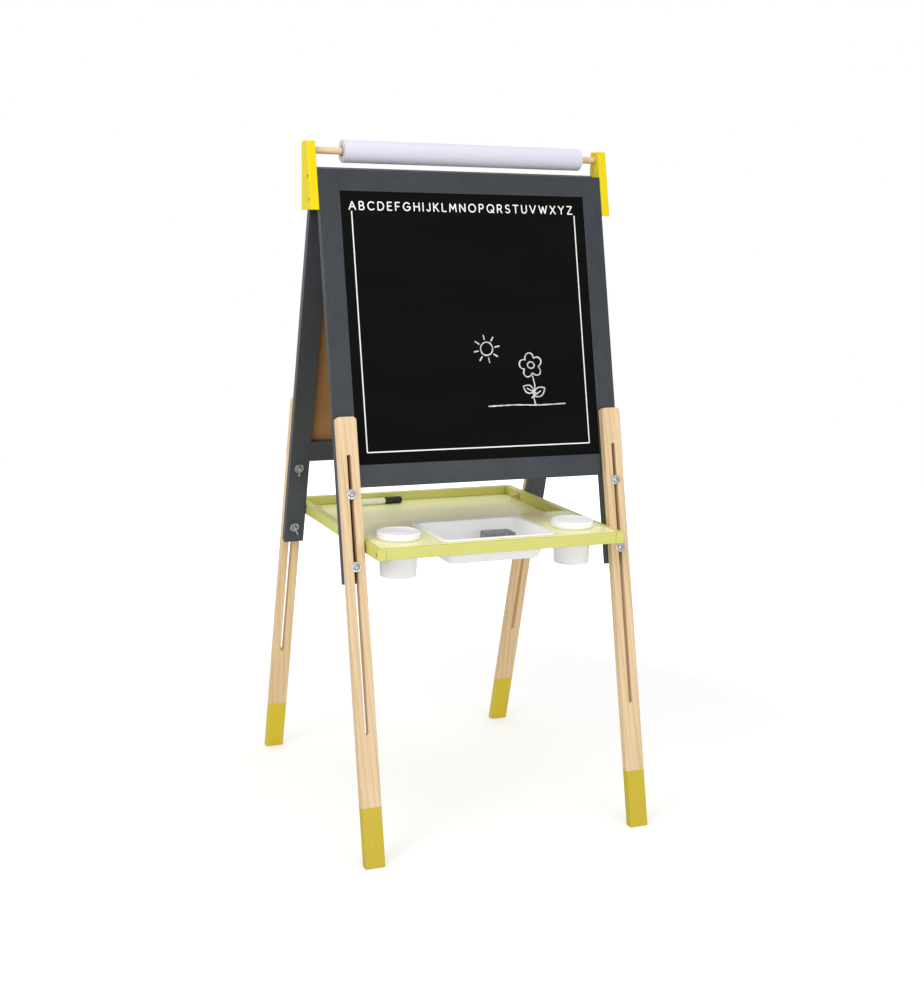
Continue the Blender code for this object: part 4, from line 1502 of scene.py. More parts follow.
@dataclass(frozen=True)
class SlottedLegs:
    """The two pine legs of a half: slotted for the bolts, round at the top, feet dipped in paint.

    Attributes:
        half: the half that they belong to.
        dip: the height of the paint on the feet.
        width: a leg's width.
        thickness: a leg's thickness.
        corner: the radius of its top corners.
        slot_half: half the slot's width.
        ease: the rounding of its edges.
    """

    half: Half
    dip: float = 0.101
    width: float = 36 * MM
    thickness: float = 16 * MM
    corner: float = 7 * MM
    slot_half: float = 3.4 * MM
    ease: float = 1.4 * MM

    def shape(self, x: float) -> bmesh.types.BMesh:
        """One leg in the easel's frame.

        Args:
            x: its middle, in the half's own frame.

        Returns:
            The closed shape; its foot's faces have material number 1.
        """
        w, past_floor = self.width / 2, -1.25
        top = -self.half.leg_top
        outline = [(x - w, past_floor), (x + w, past_floor)]
        r = self.corner
        outline += arc(x + w - r, top - r, r, r, 0, 90, 8)
        outline += arc(x - w + r, top - r, r, r, 90, 180, 8)
        s, (start, end) = self.slot_half, self.half.slot
        slot = arc(x, -start - s, s, s, 0, 180, 12) + arc(x, -end + s, s, s, 180, 360, 12)
        leg = slab(outline, self.thickness, self.ease, [slot])
        upright = Matrix.Translation((0, -GAP, 0)) @ Matrix.Rotation(math.pi / 2, 4, "X")
        put(leg, self.half.matrix @ upright)
        everything = leg.verts[:] + leg.edges[:] + leg.faces[:]
        cut = bmesh.ops.bisect_plane(
            leg, geom=everything, plane_co=(0, 0, 0), plane_no=(0, 0, -1), clear_outer=True
        )
        rim = [g for g in cut["geom_cut"] if isinstance(g, bmesh.types.BMEdge)]
        bmesh.ops.edgeloop_fill(leg, edges=rim)
        bmesh.ops.bevel(leg, geom=rim, offset=1.2 * MM, segments=3, profile=0.5, affect="EDGES")
        everything = leg.verts[:] + leg.edges[:] + leg.faces[:]
        bmesh.ops.bisect_plane(leg, geom=everything, plane_co=(0, 0, self.dip), plane_no=(0, 0, 1))
        for face in leg.faces:
            face.material_index = int(face.calc_center_median().z < self.dip)
        bmesh.ops.recalc_face_normals(leg, faces=leg.faces)
        return leg

    def build(self) -> None:
        """Both legs, each on its own body."""
        name = self.half.name
        for side, sign in SIDES:
            node = f"{name}_leg_{side}"
            x = sign * 0.257 * (1 if name == "front" else -1)
            finishes = [LEG_PINE[name], FOOT_PAINTS[name]]
            piece = finished(f"pine_{node}", self.shape(x), finishes, 25.0)
            flat = piece.modifiers.new("flat faces", "WEIGHTED_NORMAL")
            flat.keep_sharp = True
            fit(settle(piece), node, "pine", node)


@dataclass(frozen=True)
class WritingBoards:
    """The chalkboard and the dry-erase board, housed in the frames' grooves."""

    def build(self) -> None:
        """Both boards: the writing face on the outside, brown hardboard behind it."""
        for half, node, face_finish, slot in (
            (FRONT, "chalkboard", CHALKBOARD, "chalkboard_paint"),
            (REAR, "whiteboard", WHITEBOARD, "white_laminate"),
        ):
            bm = from_frame(node, node)
            for face in bm.faces:
                face.material_index = int(face.normal.dot(half.inwards) > -0.9)
            piece = finished(f"{node}_panel", bm, [face_finish, BOARD_BACK])
            fit(soften(piece, 0.25 * MM, 2), f"{half.name}_frame", slot, node)


Stroke = list[Point2]


def letters() -> dict[str, tuple[float, list[Stroke]]]:
    """Plain one-line capitals, one unit high: each letter's width and its strokes."""
    ring = arc(0.5, 0.5, 0.5, 0.5, 90, 450, 20)
    bowl = [(0.0, 0.0), (0.0, 1.0), (0.34, 1.0)] + arc(0.34, 0.73, 0.28, 0.27, 90, -90, 8)
    bowl = bowl + [(0.0, 0.46)]
    hook = [(0.42, 1.0)] + arc(0.2, 0.22, 0.22, 0.22, 0, -165, 8)
    tub = [(0.0, 1.0)] + arc(0.36, 0.36, 0.36, 0.36, 180, 360, 12) + [(0.72, 1.0)]
    upper = [(0.0, 0.52), (0.0, 1.0), (0.34, 1.0)] + arc(0.34, 0.76, 0.24, 0.24, 90, -90, 8)
    lower = [(0.34, 0.52)] + arc(0.37, 0.26, 0.28, 0.26, 90, -90, 8) + [(0.0, 0.0), (0.0, 0.52)]
    curl = arc(0.31, 0.75, 0.27, 0.25, 35, 270, 10) + arc(0.31, 0.25, 0.31, 0.25, 90, -145, 12)[1:]
    return {
        "A": (0.88, [[(0, 0), (0.44, 1), (0.88, 0)], [(0.15, 0.34), (0.73, 0.34)]]),
        "B": (0.65, [upper + [(0.0, 0.52)], lower]),
        "C": (0.86, [arc(0.5, 0.5, 0.5, 0.5, 48, 312, 16)]),
        "D": (0.80, [[(0, 0), (0, 1), (0.3, 1)] + arc(0.3, 0.5, 0.5, 0.5, 90, -90, 12) + [(0, 0)]]),
        "E": (0.58, [[(0.58, 1), (0, 1), (0, 0), (0.58, 0)], [(0, 0.52), (0.5, 0.52)]]),
        "F": (0.56, [[(0.56, 1), (0, 1), (0, 0)], [(0, 0.5), (0.48, 0.5)]]),
        "G": (0.98, [arc(0.5, 0.5, 0.5, 0.5, 45, 352, 18) + [(0.98, 0.48), (0.58, 0.48)]]),
        "H": (0.74, [[(0, 0), (0, 1)], [(0.74, 0), (0.74, 1)], [(0, 0.52), (0.74, 0.52)]]),
        "I": (0.02, [[(0.01, 0), (0.01, 1)]]),
        "J": (0.42, [hook]),
        "K": (0.68, [[(0, 0), (0, 1)], [(0.64, 1), (0, 0.42)], [(0.2, 0.6), (0.68, 0)]]),
        "L": (0.54, [[(0, 1), (0, 0), (0.54, 0)]]),
        "M": (0.92, [[(0, 0), (0.07, 1), (0.46, 0.28), (0.85, 1), (0.92, 0)]]),
        "N": (0.78, [[(0, 0), (0, 1), (0.78, 0), (0.78, 1)]]),
        "O": (1.0, [ring]),
        "P": (0.62, [bowl]),
        "Q": (1.0, [ring, [(0.62, 0.32), (0.98, -0.03)]]),
        "R": (0.66, [bowl, [(0.3, 0.46), (0.66, 0)]]),
        "S": (0.62, [curl]),
        "T": (0.74, [[(0, 1), (0.74, 1)], [(0.37, 1), (0.37, 0)]]),
        "U": (0.72, [tub]),
        "V": (0.84, [[(0, 1), (0.42, 0), (0.84, 1)]]),
        "W": (1.18, [[(0, 1), (0.3, 0), (0.59, 0.92), (0.88, 0), (1.18, 1)]]),
        "X": (0.74, [[(0, 1), (0.74, 0)], [(0.74, 1), (0, 0)]]),
        "Y": (0.78, [[(0, 1), (0.39, 0.5), (0.78, 1)], [(0.39, 0.5), (0.39, 0)]]),
        "Z": (0.72, [[(0, 1), (0.72, 1), (0, 0), (0.72, 0)]]),
    }


@dataclass(frozen=True)
class BoardPrint:
    """What is on the chalkboard: the printed alphabet and frame line, and a chalk doodle.

    Attributes:
        row_left: where the first letter's middle line starts.
        row_right: where the last letter ends.
        row_top: how far down the frame the letters' tops are.
        cap: the letters' height.
        pen: the printed lines' width.
        narrow: how far the letters are narrowed.
        border: half the frame line's width across the board.
        border_rows: where the frame line's sides start and where its foot is.
        stick: the chalk strokes' width.
        recess: how far the board's face lies behind the frame's.
    """

    row_left: float = -0.2212
    row_right: float = 0.2130
    row_top: float = 0.0560
    cap: float = 14.0 * MM
    pen: float = 2.15 * MM
    narrow: float = 0.94
    border: float = 0.217
    border_rows: Point2 = (0.0735, 0.4950)
    stick: float = 2.3 * MM
    recess: float = 1.5 * MM

    def alphabet(self) -> list[Stroke]:
        """The 26 letters, spaced evenly by the gaps between them."""
        shapes = letters()
        wide = self.cap * self.narrow
        inked = sum(width for width, _ in shapes.values()) * wide
        gap = (self.row_right - self.row_left - inked) / (len(shapes) - 1)
        made: list[Stroke] = []
        x = self.row_left
        for width, strokes in shapes.values():
            for line in strokes:
                made.append([(x + a * wide, -self.row_top - (1 - b) * self.cap) for a, b in line])
            x += width * wide + gap
        return made

    def frame_line(self) -> list[Stroke]:
        """The line down both sides and along the foot of the board."""
        top, foot = self.border_rows
        b = self.border
        return [[(-b, -top), (-b, -foot), (b, -foot), (b, -top)]]

    def doodle(self) -> list[Stroke]:
        """A child's drawing: a daisy with two leaves standing on the ground, under a sun."""

        def wobble(points: Stroke, amount: float = 0.9 * MM) -> Stroke:
            """The points as an unsteady hand would draw them."""
            moved = []
            for x, y in points:
                shake = noise.noise_vector((x * 45, y * 45, 3.7)) * amount
                moved.append((x + shake.x, y + shake.y))
            return moved

        def curve(*marks: Point2) -> Stroke:
            """A smooth line through a few marks."""
            ends = [marks[0], *marks, marks[-1]]
            made: Stroke = []
            for a, b, c, d in zip(ends, ends[1:], ends[2:], ends[3:]):
                for k in range(8):
                    t = k / 8
                    made.append(tuple(
                        0.5 * (2 * q + (r - p) * t + (2 * p - 5 * q + 4 * r - s) * t * t
                               + (3 * q - p - 3 * r + s) * t ** 3)
                        for p, q, r, s in zip(a, b, c, d)
                    ))
            return [*made, marks[-1]]

        def leaf(x: float, y: float, length: float, turn: float) -> list[Stroke]:
            """A pointed leaf with its vein, growing from a point along a direction."""
            blade = [(u, 0.30 * math.sin(math.pi * u) * s) for s in (1, -1)
                     for u in [i / 10 for i in (range(11) if s > 0 else range(10, -1, -1))]]
            lines = [blade, [(-0.18, 0.0), (0.62, 0.0)]]
            c, s = math.cos(turn) * length, math.sin(turn) * length
            return [[(x + u * c - v * s, y + u * s + v * c) for u, v in line] for line in lines]

        cx, cy = 0.108, -0.349
        petals = []
        for i in range(97):
            t = math.tau * i / 96
            r = (13.5 + 9.5 * abs(math.sin(2.5 * t + 0.4)) ** 0.8) * MM
            petals.append((cx + r * math.cos(t), cy + r * math.sin(t)))
        sun_x, sun_y = 0.022, -0.318
        rays = []
        for i in range(8):
            t = math.tau * i / 8 + 0.2
            rays.append([(sun_x + r * math.cos(t), sun_y + r * math.sin(t)) for r in (17 * MM, 25 * MM)])
        lines = [
            petals,
            arc(cx, cy, 6.5 * MM, 6.0 * MM, 20, 375, 20),
            curve((cx + 2 * MM, cy - 20 * MM), (0.113, -0.388), (0.110, -0.402), (0.112, -0.4205)),
            *leaf(0.110, -0.405, 27 * MM, math.radians(32)),
            *leaf(0.111, -0.398, 24 * MM, math.radians(152)),
            [(0.020, -0.4215), (0.070, -0.4205), (0.120, -0.4220), (0.172, -0.4205)],
            arc(sun_x, sun_y, 12 * MM, 12 * MM, 10, 372, 24),
            *rays,
        ]
        return [wobble(line) for line in lines]

    def drawn(self, name: str, lines: list[Stroke], width: float, height: float, uneven: float,
              step: float, finish: Finish) -> Object:
        """Draws strokes on the board.

        Args:
            name: the piece's name.
            lines: the strokes, across and up the front half.
            width: the strokes' width.
            height: how far they stand up from the board, all told.
            uneven: how much their width swings.
            step: how far apart the line's points are.
            finish: what they are drawn with.

        Returns:
            The piece in the easel's frame.
        """
        mesh = bpy.data.meshes.new(name)
        verts, edges = [], []
        for line in lines:
            start = len(verts)
            verts += [(x, 0.0, z) for x, z in line]
            edges += [(start + i, start + i + 1) for i in range(len(line) - 1)]
        mesh.from_pydata(verts, edges, [])
        inputs = {"Line Width": width, "Height": height, "Unevenness": uneven, "Step": step,
                  "Finish": finish.material()}
        piece = grow(name, stroke_tree(), mesh, inputs)
        piece.data.transform(FRONT.matrix @ Matrix.Translation((0, self.recess, 0)))
        return piece

    def build(self) -> None:
        """The print and the doodle."""
        lines = self.alphabet() + self.frame_line()
        ink = self.drawn("board_print", lines, self.pen, 0.08 * MM, 0.0, 1.2 * MM, INK)
        fit(ink, "front_frame", "white_laminate")
        chalk = self.drawn("chalk_doodle", self.doodle(), self.stick, 0.10 * MM, 0.35, 2.0 * MM, CHALK)
        fit(chalk, "front_frame", "white_laminate")


@dataclass(frozen=True)
class RollHolder:
    """The two yellow brackets, and the paper roll that turns on a dowel between them.

    Attributes:
        screw_rows: how far down the frame each bracket's two screws are.
        bracket_ease: the rounding of the brackets' sawn edges.
        turns: how many turns of paper are drawn, fewer than a real roll has.
        sheet: the drawn thickness of the paper.
    """

    screw_rows: Point2 = (0.0125, 0.0530)
    bracket_ease: float = 0.6 * MM
    turns: float = 26.0
    sheet: float = 0.34 * MM

    def brackets(self) -> None:
        """Both brackets and the dark screws that hold them to the stiles' edges."""
        spots, screw = [], CountersunkScrew(2.9 * MM)
        for side, sign in SIDES:
            node = f"bracket_{side}"
            low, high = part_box(node)
            outer = (high.x if sign > 0 else low.x) - sign * 0.15 * MM
            mine = [(FRONT.place(outer, BOARD_T / 2, down), Vector((sign, 0, 0))) for down in self.screw_rows]
            shape = countersunk(from_frame(node, node), mine, screw.head)
            piece = soften(finished(f"painted_{node}", shape, [BRACKET_PAINT]), self.bracket_ease)
            fit(piece, "front_frame", "yellow_paint", node)
            spots += mine
        screws = scatter("bracket_screws", screw.shape(), spots, DARK_STEEL, 3)
        fit(screws, "front_frame", "zinc_steel")

    def axle(self) -> Matrix:
        """A matrix that lays +Z along the dowel, from its middle towards +X."""
        return facing(middle("roll_dowel"), Vector((1, 0, 0)))

    def dowel(self) -> None:
        """A beech dowel with eased ends."""
        low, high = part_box("roll_dowel")
        half, r = (high.x - low.x) / 2, (high.z - low.z) / 2
        profile = [(0, -half), *fillet([(0, -half), (r, -half), (r, half), (0, half)], 1.2 * MM)[1:-1], (0, half)]
        shape = put(lathe(profile, 40), self.axle())
        fit(finished("turned_dowel", shape, [ROUND_PINE]), "roll_dowel", "pine", "roll_dowel")

    def roll(self) -> None:
        """The cardboard core and the paper wound round it."""
        low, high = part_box("roll_core")
        half, r, bore = (high.x - low.x) / 2, (high.z - low.z) / 2, 7 * MM
        profile = fillet([(bore, -half), (r, -half), (r, half), (bore, half)], 0.4 * MM, 3)
        shift = Matrix.Translation(((low.x + high.x) / 2, 0, 0))
        shape = put(lathe(profile, 48), shift @ self.axle())
        fit(finished("card_core", shape, [CARD]), "paper_roll", "cardboard", "roll_core")
        low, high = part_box("paper_roll")
        inputs = {
            "Turns": self.turns, "Core Radius": r + GAP + self.sheet / 2,
            "Outer Radius": (high.z - low.z) / 2 - self.sheet / 2 - 0.05 * MM,
            "Width": high.x - low.x - 0.2 * MM, "Sheet": self.sheet, "Finish": PAPER.material(),
        }
        paper = grow("wound_paper", wound_tree(), bpy.data.meshes.new("wound_paper"), inputs)
        paper.data.transform(Matrix.Translation(middle("paper_roll")))
        fit(paper, "paper_roll", "paper", "paper_roll")

    def build(self) -> None:
        """Every piece of the roll and its holder."""
        self.brackets()
        self.dowel()
        self.roll()


@dataclass(frozen=True)
class Tray:
    """The lime tray between the frames: rails, deck, floor, its four pegs and its side screws.

    Attributes:
        ease: the rounding of the rails' edges.
        deck_ease: the rounding of the deck's edges and holes.
        pot_hole: the radius of the pots' holes.
        basin_play: the air round the basin in its hole.
    """

    ease: float = 1.1 * MM
    deck_ease: float = 0.6 * MM
    pot_hole: float = 36.2 * MM
    basin_play: float = 1.0 * MM

    def rails(self) -> None:
        """The five rails, their grain running along each."""
        grains = {"front": Grain.ACROSS, "rear": Grain.ACROSS, "left": Grain.BACKWARDS, "right": Grain.BACKWARDS}
        nodes = {f"tray_rail_{side}": grain for side, grain in grains.items()}
        nodes["tray_cross_rail"] = Grain.ACROSS
        for node, grain in nodes.items():
            here = [spot for spot in self.spots() if node == f"tray_rail_{'right' if spot[1].x > 0 else 'left'}"]
            shape = countersunk(from_frame(node, node), here, CountersunkScrew.head)
            piece = soften(finished(f"painted_{node}", shape, [lime_paint(grain)]), self.ease)
            fit(piece, "tray", "lime_paint", node)

    def deck(self) -> None:
        """The deck with its holes, and the thin floor of the shelf behind it."""
        low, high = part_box("tray_deck")
        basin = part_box("basin")
        lip = 7.5 * MM - self.basin_play
        mid = (basin[0] + basin[1]) / 2
        half_x, half_y = (basin[1].x - basin[0].x) / 2 - lip, (basin[1].y - basin[0].y) / 2 - lip
        holes = [[(x, y + mid.y) for x, y in round_rect(half_x, half_y, 12 * MM)]]
        for side, _ in SIDES:
            at = middle(f"pot_{side}")
            holes.append(arc(at.x, at.y, self.pot_hole, self.pot_hole, 0, 355, 71))
        outline = [(low.x, low.y), (high.x, low.y), (high.x, high.y), (low.x, high.y)]
        shape = put(slab(outline, high.z - low.z, self.deck_ease, holes), Matrix.Translation((0, 0, low.z)))
        # The deck and floor take the lime paint made paler as painted light.
        piece = finished("painted_deck", shape, [lime_paint_lightened(Grain.ACROSS)])
        fit(piece, "tray", "lime_paint", "tray_deck")
        floor = board("painted_floor", "tray_floor", lime_paint_lightened(Grain.BACKWARDS), 0.3 * MM)
        fit(floor, "tray", "lime_paint", "tray_floor")

    def pegs(self) -> None:
        """The four turned pegs, whose raw ends show inside the rear of the tray."""
        for place in ("rear_left", "rear_right", "front_left", "front_right"):
            node = f"tray_peg_{place}"
            low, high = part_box(node)
            half, r = (high.x - low.x) / 2, (high.z - low.z) / 2
            ends = fillet([(0, -half), (r, -half), (r, half), (0, half)], 0.9 * MM)[1:-1]
            shape = lathe([(0, -half), *ends, (0, half)], 32)
            put(shape, facing(middle(node), Vector((1, 0, 0))))
            fit(finished(f"turned_{node}", shape, [ROUND_PINE]), "tray", "pine", node)

    def spots(self) -> list[tuple[Vector, Vector]]:
        """Where the side screws' heads are, each with the way that it faces."""
        spots = []
        for side, sign in SIDES:
            low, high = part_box(f"tray_rail_{side}")
            outer = (high.x if sign > 0 else low.x) - sign * 0.1 * MM
            for rail in ("tray_rail_front", "tray_cross_rail", "tray_rail_rear"):
                at = Vector((outer, middle(rail).y, (low.z + high.z) / 2 - 0.5 * MM))
                spots.append((at, Vector((sign, 0, 0))))
        return spots

    def screws(self) -> None:
        """Three countersunk screws through each side rail into the rails between."""
        screws = scatter("tray_side_screws", CountersunkScrew().shape(), self.spots(), ZINC, 7)
        fit(screws, "tray", "zinc_steel")

    def build(self) -> None:
        """Every piece of the tray."""
        self.rails()
        self.deck()
        self.pegs()
        self.screws()


@dataclass(frozen=True)
class PaintPots:
    """Two lidded paint pots that hang in the deck's round holes.

    Attributes:
        wall: how thick the plastic is.
        base: the radius of a pot's base.
        top: its radius under the flange.
        edge: the radius of the moulded corners.
        lid_sink: how far the lid's middle lies below its rim.
    """

    wall: float = 1.4 * MM
    base: float = 32.2 * MM
    top: float = 35.2 * MM
    edge: float = 1.1 * MM
    lid_sink: float = 1.35 * MM

    def pot(self, low: float, high: float, flange_r: float) -> bmesh.types.BMesh:
        """A pot: tapered wall, flange over the deck, and a neck that the lid grips.

        Args:
            low: the height of its base.
            high: the height of its neck's top.
            flange_r: the flange's radius.
        """
        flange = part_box("tray_deck")[1].z + GAP
        neck, w = self.top - 0.6 * MM, self.wall
        outside = [(0, low), (self.base, low), (self.top, flange), (flange_r, flange),
                   (flange_r, flange + 1.5 * MM), (neck, flange + 1.5 * MM), (neck, high)]
        inside = [(neck - w, high), (neck - w, flange), (self.base - w, low + w), (0, low + w)]
        profile = fillet([*outside, *inside], self.edge, 4, closed=False)
        return lathe(profile, 72)

    def lid(self, low: float, high: float, r: float) -> bmesh.types.BMesh:
        """A lid: gripping skirt, raised rim, stepped-down middle with a moulded ring.

        Args:
            low: the height of its skirt's foot.
            high: the height of its rim.
            r: its radius.
        """
        w, sink, ring = 1.2 * MM, self.lid_sink, 19 * MM
        top = [(0, high - sink), (ring - 1.2 * MM, high - sink), (ring - 0.6 * MM, high - sink + 0.6 * MM),
               (ring + 0.6 * MM, high - sink + 0.6 * MM), (ring + 1.2 * MM, high - sink),
               (31.0 * MM, high - sink), (31.8 * MM, high), (r - 1.4 * MM, high), (r, high - 2.0 * MM),
               (r, low + 1.6 * MM), (r, low)]
        under = [(r - w, low), (r - w, high - w), (32.6 * MM, high - w), (31.6 * MM, high - sink - w),
                 (0, high - sink - w)]
        return lathe(fillet([*top, *under], 0.5 * MM, 3, closed=False), 72)

    def build(self) -> None:
        """Both pots and both lids, each on its own body."""
        for side, _ in SIDES:
            at = Matrix.Translation((middle(f"pot_{side}").xy.to_3d()))
            low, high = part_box(f"pot_{side}")
            shape = put(self.pot(low.z, high.z, (high.x - low.x) / 2), at)
            pot = finished(f"moulded_pot_{side}", shape, [POT_PLASTIC], 50)
            fit(pot, f"pot_{side}", "white_plastic", f"pot_{side}")
            low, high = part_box(f"pot_lid_{side}")
            shape = put(self.lid(low.z, high.z, (high.x - low.x) / 2), at)
            lid = finished(f"moulded_pot_lid_{side}", shape, [POT_PLASTIC], 50)
            fit(lid, f"pot_lid_{side}", "white_plastic", f"pot_lid_{side}")


@dataclass(frozen=True)
class Basin:
    """The rectangular tub for chalk and erasers: tapered walls under a turned-out lip.

    Attributes:
        wall: how thick the plastic is.
        lip: how wide the lip is.
        taper: how much further in the base is than the mouth.
        corner: the plan radius of the lip's corners.
    """

    wall: float = 1.6 * MM
    lip: float = 7.5 * MM
    taper: float = 16 * MM
    corner: float = 14 * MM

    def build(self) -> None:
        """The tub, skinned over one rounded section."""
        low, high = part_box("basin")
        at = (low + high) / 2
        wide, deep = (high.x - low.x) / 2, (high.y - low.y) / 2
        seat, mouth, base, w = high.z - 2.8 * MM, self.lip, self.lip + self.taper, self.wall
        section = [(base + 14 * MM, low.z), (base, low.z), (mouth, seat), (0.0, seat), (0.0, high.z),
                   (mouth + w, high.z), (base + w, low.z + w), (base + 14 * MM, low.z + w)]
        rounded = fillet(section, 3.4 * MM, 6, closed=False)
        rings = []
        for inset, z in rounded:
            r = self.corner - 0.18 * min(inset, base)
            outline = round_rect(wide - inset, deep - inset, max(r, 3 * MM), 8)
            rings.append(([(x + at.x, y + at.y) for x, y in outline], z))
        piece = finished("moulded_basin", loft(rings), [POT_PLASTIC], 50)
        fit(piece, "basin", "white_plastic", "basin")


@dataclass(frozen=True)
class FeltEraser:
    """A board eraser: strips of felt side by side, stitched on to a felt back.

    Attributes:
        strips: how many strips it has.
        back: how thick the back is.
        ease: the rounding of each strip's edges.
    """

    strips: int = 7
    back: float = 6 * MM
    ease: float = 1.3 * MM

    def build(self) -> None:
        """The back and the strips as one body of felt."""
        low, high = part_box("felt_eraser")
        pitch = (high.x - low.x) / self.strips
        shapes = [self.block(low, Vector((high.x, high.y, low.z + self.back)), self.ease)]
        for i in range(self.strips):
            shift = Vector((i * pitch + 0.12 * MM, 0.4 * MM * (i % 2), self.back - 1.5 * MM))
            end = Vector((low.x + (i + 1) * pitch - 0.12 * MM, high.y - 0.4 * MM * ((i + 1) % 2), high.z))
            shapes.append(self.block(low + shift, end, self.ease))
        fit(finished("felt_strips", merged(shapes), [FELT], 60), "felt_eraser", "felt", "felt_eraser")

    def block(self, low: Vector, high: Vector, ease: float) -> bmesh.types.BMesh:
        """A block with round edges between two corners."""
        bm = bmesh.new()
        bmesh.ops.create_cube(bm, size=1)
        size, at = high - low, (low + high) / 2
        for vert in bm.verts:
            vert.co = at + Vector(a * b for a, b in zip(vert.co, size))
        bmesh.ops.bevel(
            bm, geom=bm.edges[:], offset=ease, segments=4, profile=0.5, affect="EDGES",
            clamp_overlap=True,
        )
        return bm


@dataclass(frozen=True)
class BoardMarker:
    """A dry-erase marker lying at the back of the tray, with a ribbed push-on cap.

    Attributes:
        barrel: the barrel's radius.
        cap: the cap's radius.
        bore: the cap's bore.
        length: from the cap's tip to the barrel's end.
        cap_length: the cap's length.
        yaw: its turn from the tray's rear rail, in degrees; not used.
    """

    barrel: float = 5.8 * MM
    cap: float = 7.0 * MM
    bore: float = 5.2 * MM
    length: float = 0.132
    cap_length: float = 0.036
    yaw: float = 4.0

    def axis(self) -> Matrix:
        """Stands +Z along the marker, from the cap's tip towards the barrel's end."""
        pull = next(j for j in frame["joints"] if j["name"] == "marker_cap_pull")
        along = -Vector(pull["axis"]).normalized()
        low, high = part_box("marker_cap")
        tip = (low + high) / 2 - along * self.cap_length / 2
        return facing(tip, along)

    def build(self) -> None:
        """The barrel with its end plug and felt tip, and the cap."""
        neck, shoulder, end = self.bore - 0.4 * MM, self.cap_length + GAP, self.length
        body = [(0, 4 * MM), (1.5 * MM, 4 * MM), (2.2 * MM, 10 * MM), (neck, 14 * MM), (neck, shoulder),
                (self.barrel, shoulder), (self.barrel, end - 9 * MM), (self.barrel - 0.35 * MM, end - 8.6 * MM),
                (self.barrel - 0.35 * MM, end - 8.0 * MM), (self.barrel, end - 7.6 * MM),
                (self.barrel - 0.2 * MM, end - 1.6 * MM), (self.barrel - 2 * MM, end), (0, end)]
        shape = put(lathe(fillet(body, 0.5 * MM, 3, closed=False), 48), self.axis())
        barrel = finished("marker_body", shape, [MARKER_WHITE])
        fit(barrel, "marker", "marker_plastic", "marker_barrel")
        r, length, bore = self.cap, self.cap_length, self.bore
        outline = [(0, 0), (r - 1.6 * MM, 0), (r - 0.2 * MM, 1.6 * MM)]
        for i in range(9):
            z = (5 + i * 1.6) * MM
            outline += [(r, z), (r, z + 0.8 * MM), (r - 0.35 * MM, z + 1.0 * MM), (r - 0.35 * MM, z + 1.4 * MM)]
        outline += [(r, 20.5 * MM), (r, length), (bore, length), (bore, 1.6 * MM), (0, 1.6 * MM)]
        shape = put(lathe(fillet(outline, 0.25 * MM, 2, closed=False), 48), self.axis())
        fit(finished("marker_push_cap", shape, [MARKER_BLACK]), "marker_cap", "black_plastic", "marker_cap")


# ---------------------------------------------------------------- studio


@dataclass(frozen=True)
class Softbox:
    """A rectangular studio light.

    Attributes:
        name: the light's name.
        at: where it stands.
        aim: the point that it faces.
        size: its width and height.
        power: its output in watts.
    """

    name: str
    at: tuple[float, float, float]
    aim: tuple[float, float, float]
    size: Point2
    power: float

    def build(self) -> None:
        """Hangs the light."""
        lamp = bpy.data.lights.new(self.name, "AREA")
        lamp.shape, lamp.energy = "RECTANGLE", self.power
        lamp.size, lamp.size_y = self.size
        made = bpy.data.objects.new(self.name, lamp)
        made.matrix_world = facing(self.at, Vector(self.at) - Vector(self.aim))
        bpy.context.scene.collection.objects.link(made)


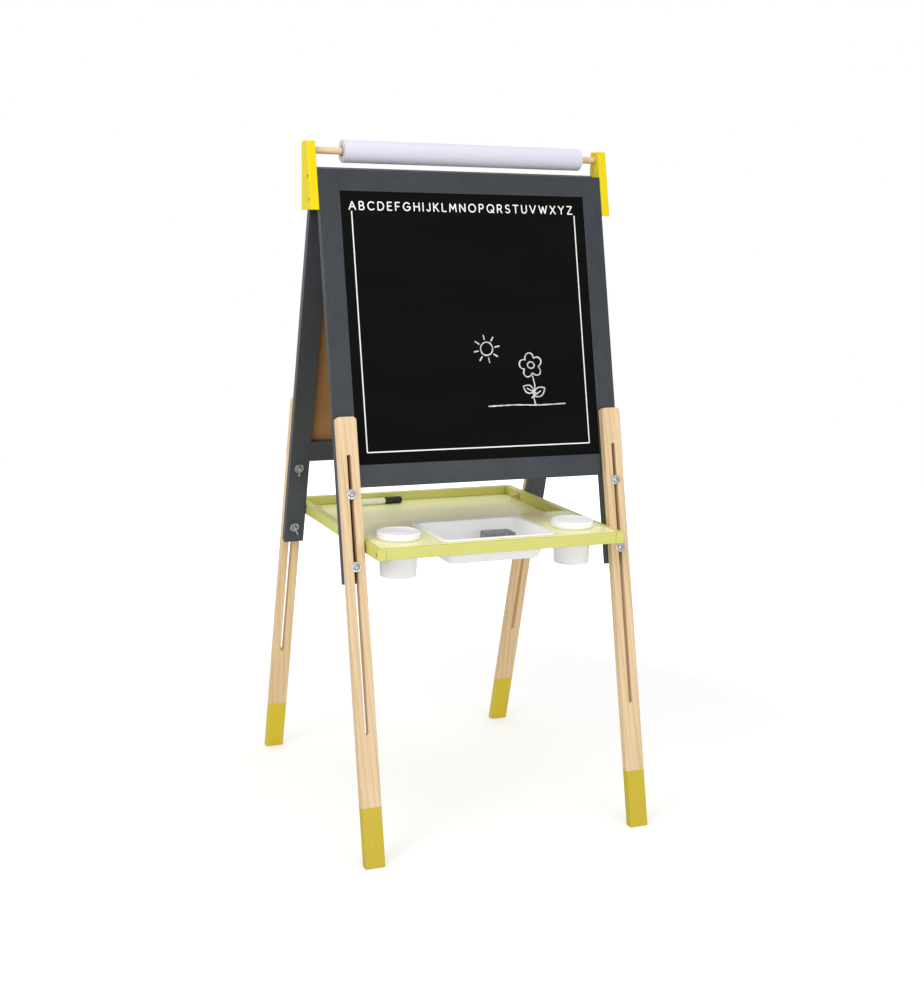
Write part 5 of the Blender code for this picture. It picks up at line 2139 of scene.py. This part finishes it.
@dataclass(frozen=True)
class Studio:
    """A white seamless room, its lights and the camera.

    Attributes:
        ambient: how bright the white surroundings are.
        lights: the softboxes.
        eye: where the camera stands.
        yaw: its turn from +Y towards +X, in degrees.
        pitch: its tilt up, in degrees.
        roll: its roll, in degrees.
        lens: its focal length in millimetres on a 36 mm sensor.
    """

    ambient: float = 0.78
    lights: tuple[Softbox, ...] = (
        Softbox("key_softbox", (-1.75, -1.15, 1.9), (0, 0, 0.9), (1.1, 1.1), 19),
        Softbox("top_softbox", (0.3, -0.3, 3.4), (0, 0, 0), (2.5, 2.5), 17),
        Softbox("fill_softbox", (0.6, -3.1, 0.9), (0, 0.2, 0.6), (1.6, 0.9), 17),
    )
    eye: tuple[float, float, float] = (-1.0577, -2.5413, 1.1009)
    yaw: float = 23.0945
    pitch: float = -10.983
    roll: float = 1.2382
    lens: float = 53.163

    def surroundings(self) -> None:
        """The white world: full white behind the easel, a little less as light."""
        world = bpy.data.worlds.new("white_surroundings")
        world.use_nodes = True
        tree = world.node_tree
        glow = tree.nodes["Background"]
        glow.inputs["Color"].default_value = (1.0, 1.0, 1.0, 1.0)
        seen = add_node(tree, "ShaderNodeLightPath").outputs["Is Camera Ray"]
        strength = add_node(
            tree, "ShaderNodeMapRange", {"Value": seen, 1: 0.0, 2: 1.0, 3: self.ambient, 4: 1.0}
        )
        tree.links.new(strength.outputs[0], glow.inputs["Strength"])
        bpy.context.scene.world = world

    def floor(self) -> None:
        """The white floor, which isn't part of the easel."""
        bm = bmesh.new()
        bmesh.ops.create_circle(bm, cap_ends=True, segments=64, radius=4.0)
        floor = finished("studio_floor", bm, [FLOOR])
        floor.location.z = -0.4 * MM

    def camera(self) -> None:
        """The camera, level with the chalkboard and a little to its left."""
        yaw, pitch, roll = (math.radians(a) for a in (self.yaw, self.pitch, self.roll))
        ahead = Vector((math.sin(yaw) * math.cos(pitch), math.cos(yaw) * math.cos(pitch), math.sin(pitch)))
        right = Vector((math.cos(yaw), -math.sin(yaw), 0))
        up = right.cross(ahead)
        across = right * math.cos(roll) + up * math.sin(roll)
        over = up * math.cos(roll) - right * math.sin(roll)
        data = bpy.data.cameras.new("camera")
        data.lens, data.sensor_width = self.lens, 36.0
        data.clip_start, data.clip_end = 0.05, 100
        made = bpy.data.objects.new("camera", data)
        basis = Matrix((across, over, -ahead)).transposed().to_4x4()
        made.matrix_world = Matrix.Translation(self.eye) @ basis
        bpy.context.scene.collection.objects.link(made)
        bpy.context.scene.camera = made

    def build(self) -> None:
        """Everything round the easel."""
        self.surroundings()
        self.floor()
        for light in self.lights:
            light.build()
        self.camera()
        bpy.context.scene.view_settings.view_transform = "Standard"


def main() -> None:
    """Builds every sub-assembly and the studio."""
    logging.basicConfig(level=logging.INFO, format="%(message)s")
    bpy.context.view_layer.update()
    for half in (FRONT, REAR):
        PaintedFrame(half).build()
        SlottedLegs(half).build()
    for assembly in (WritingBoards(), BoardPrint(), RollHolder(), Tray(), PaintPots(), Basin(),
                     FeltEraser(), BoardMarker(), Studio()):
        assembly.build()


if __name__ == "__main__":
    main()
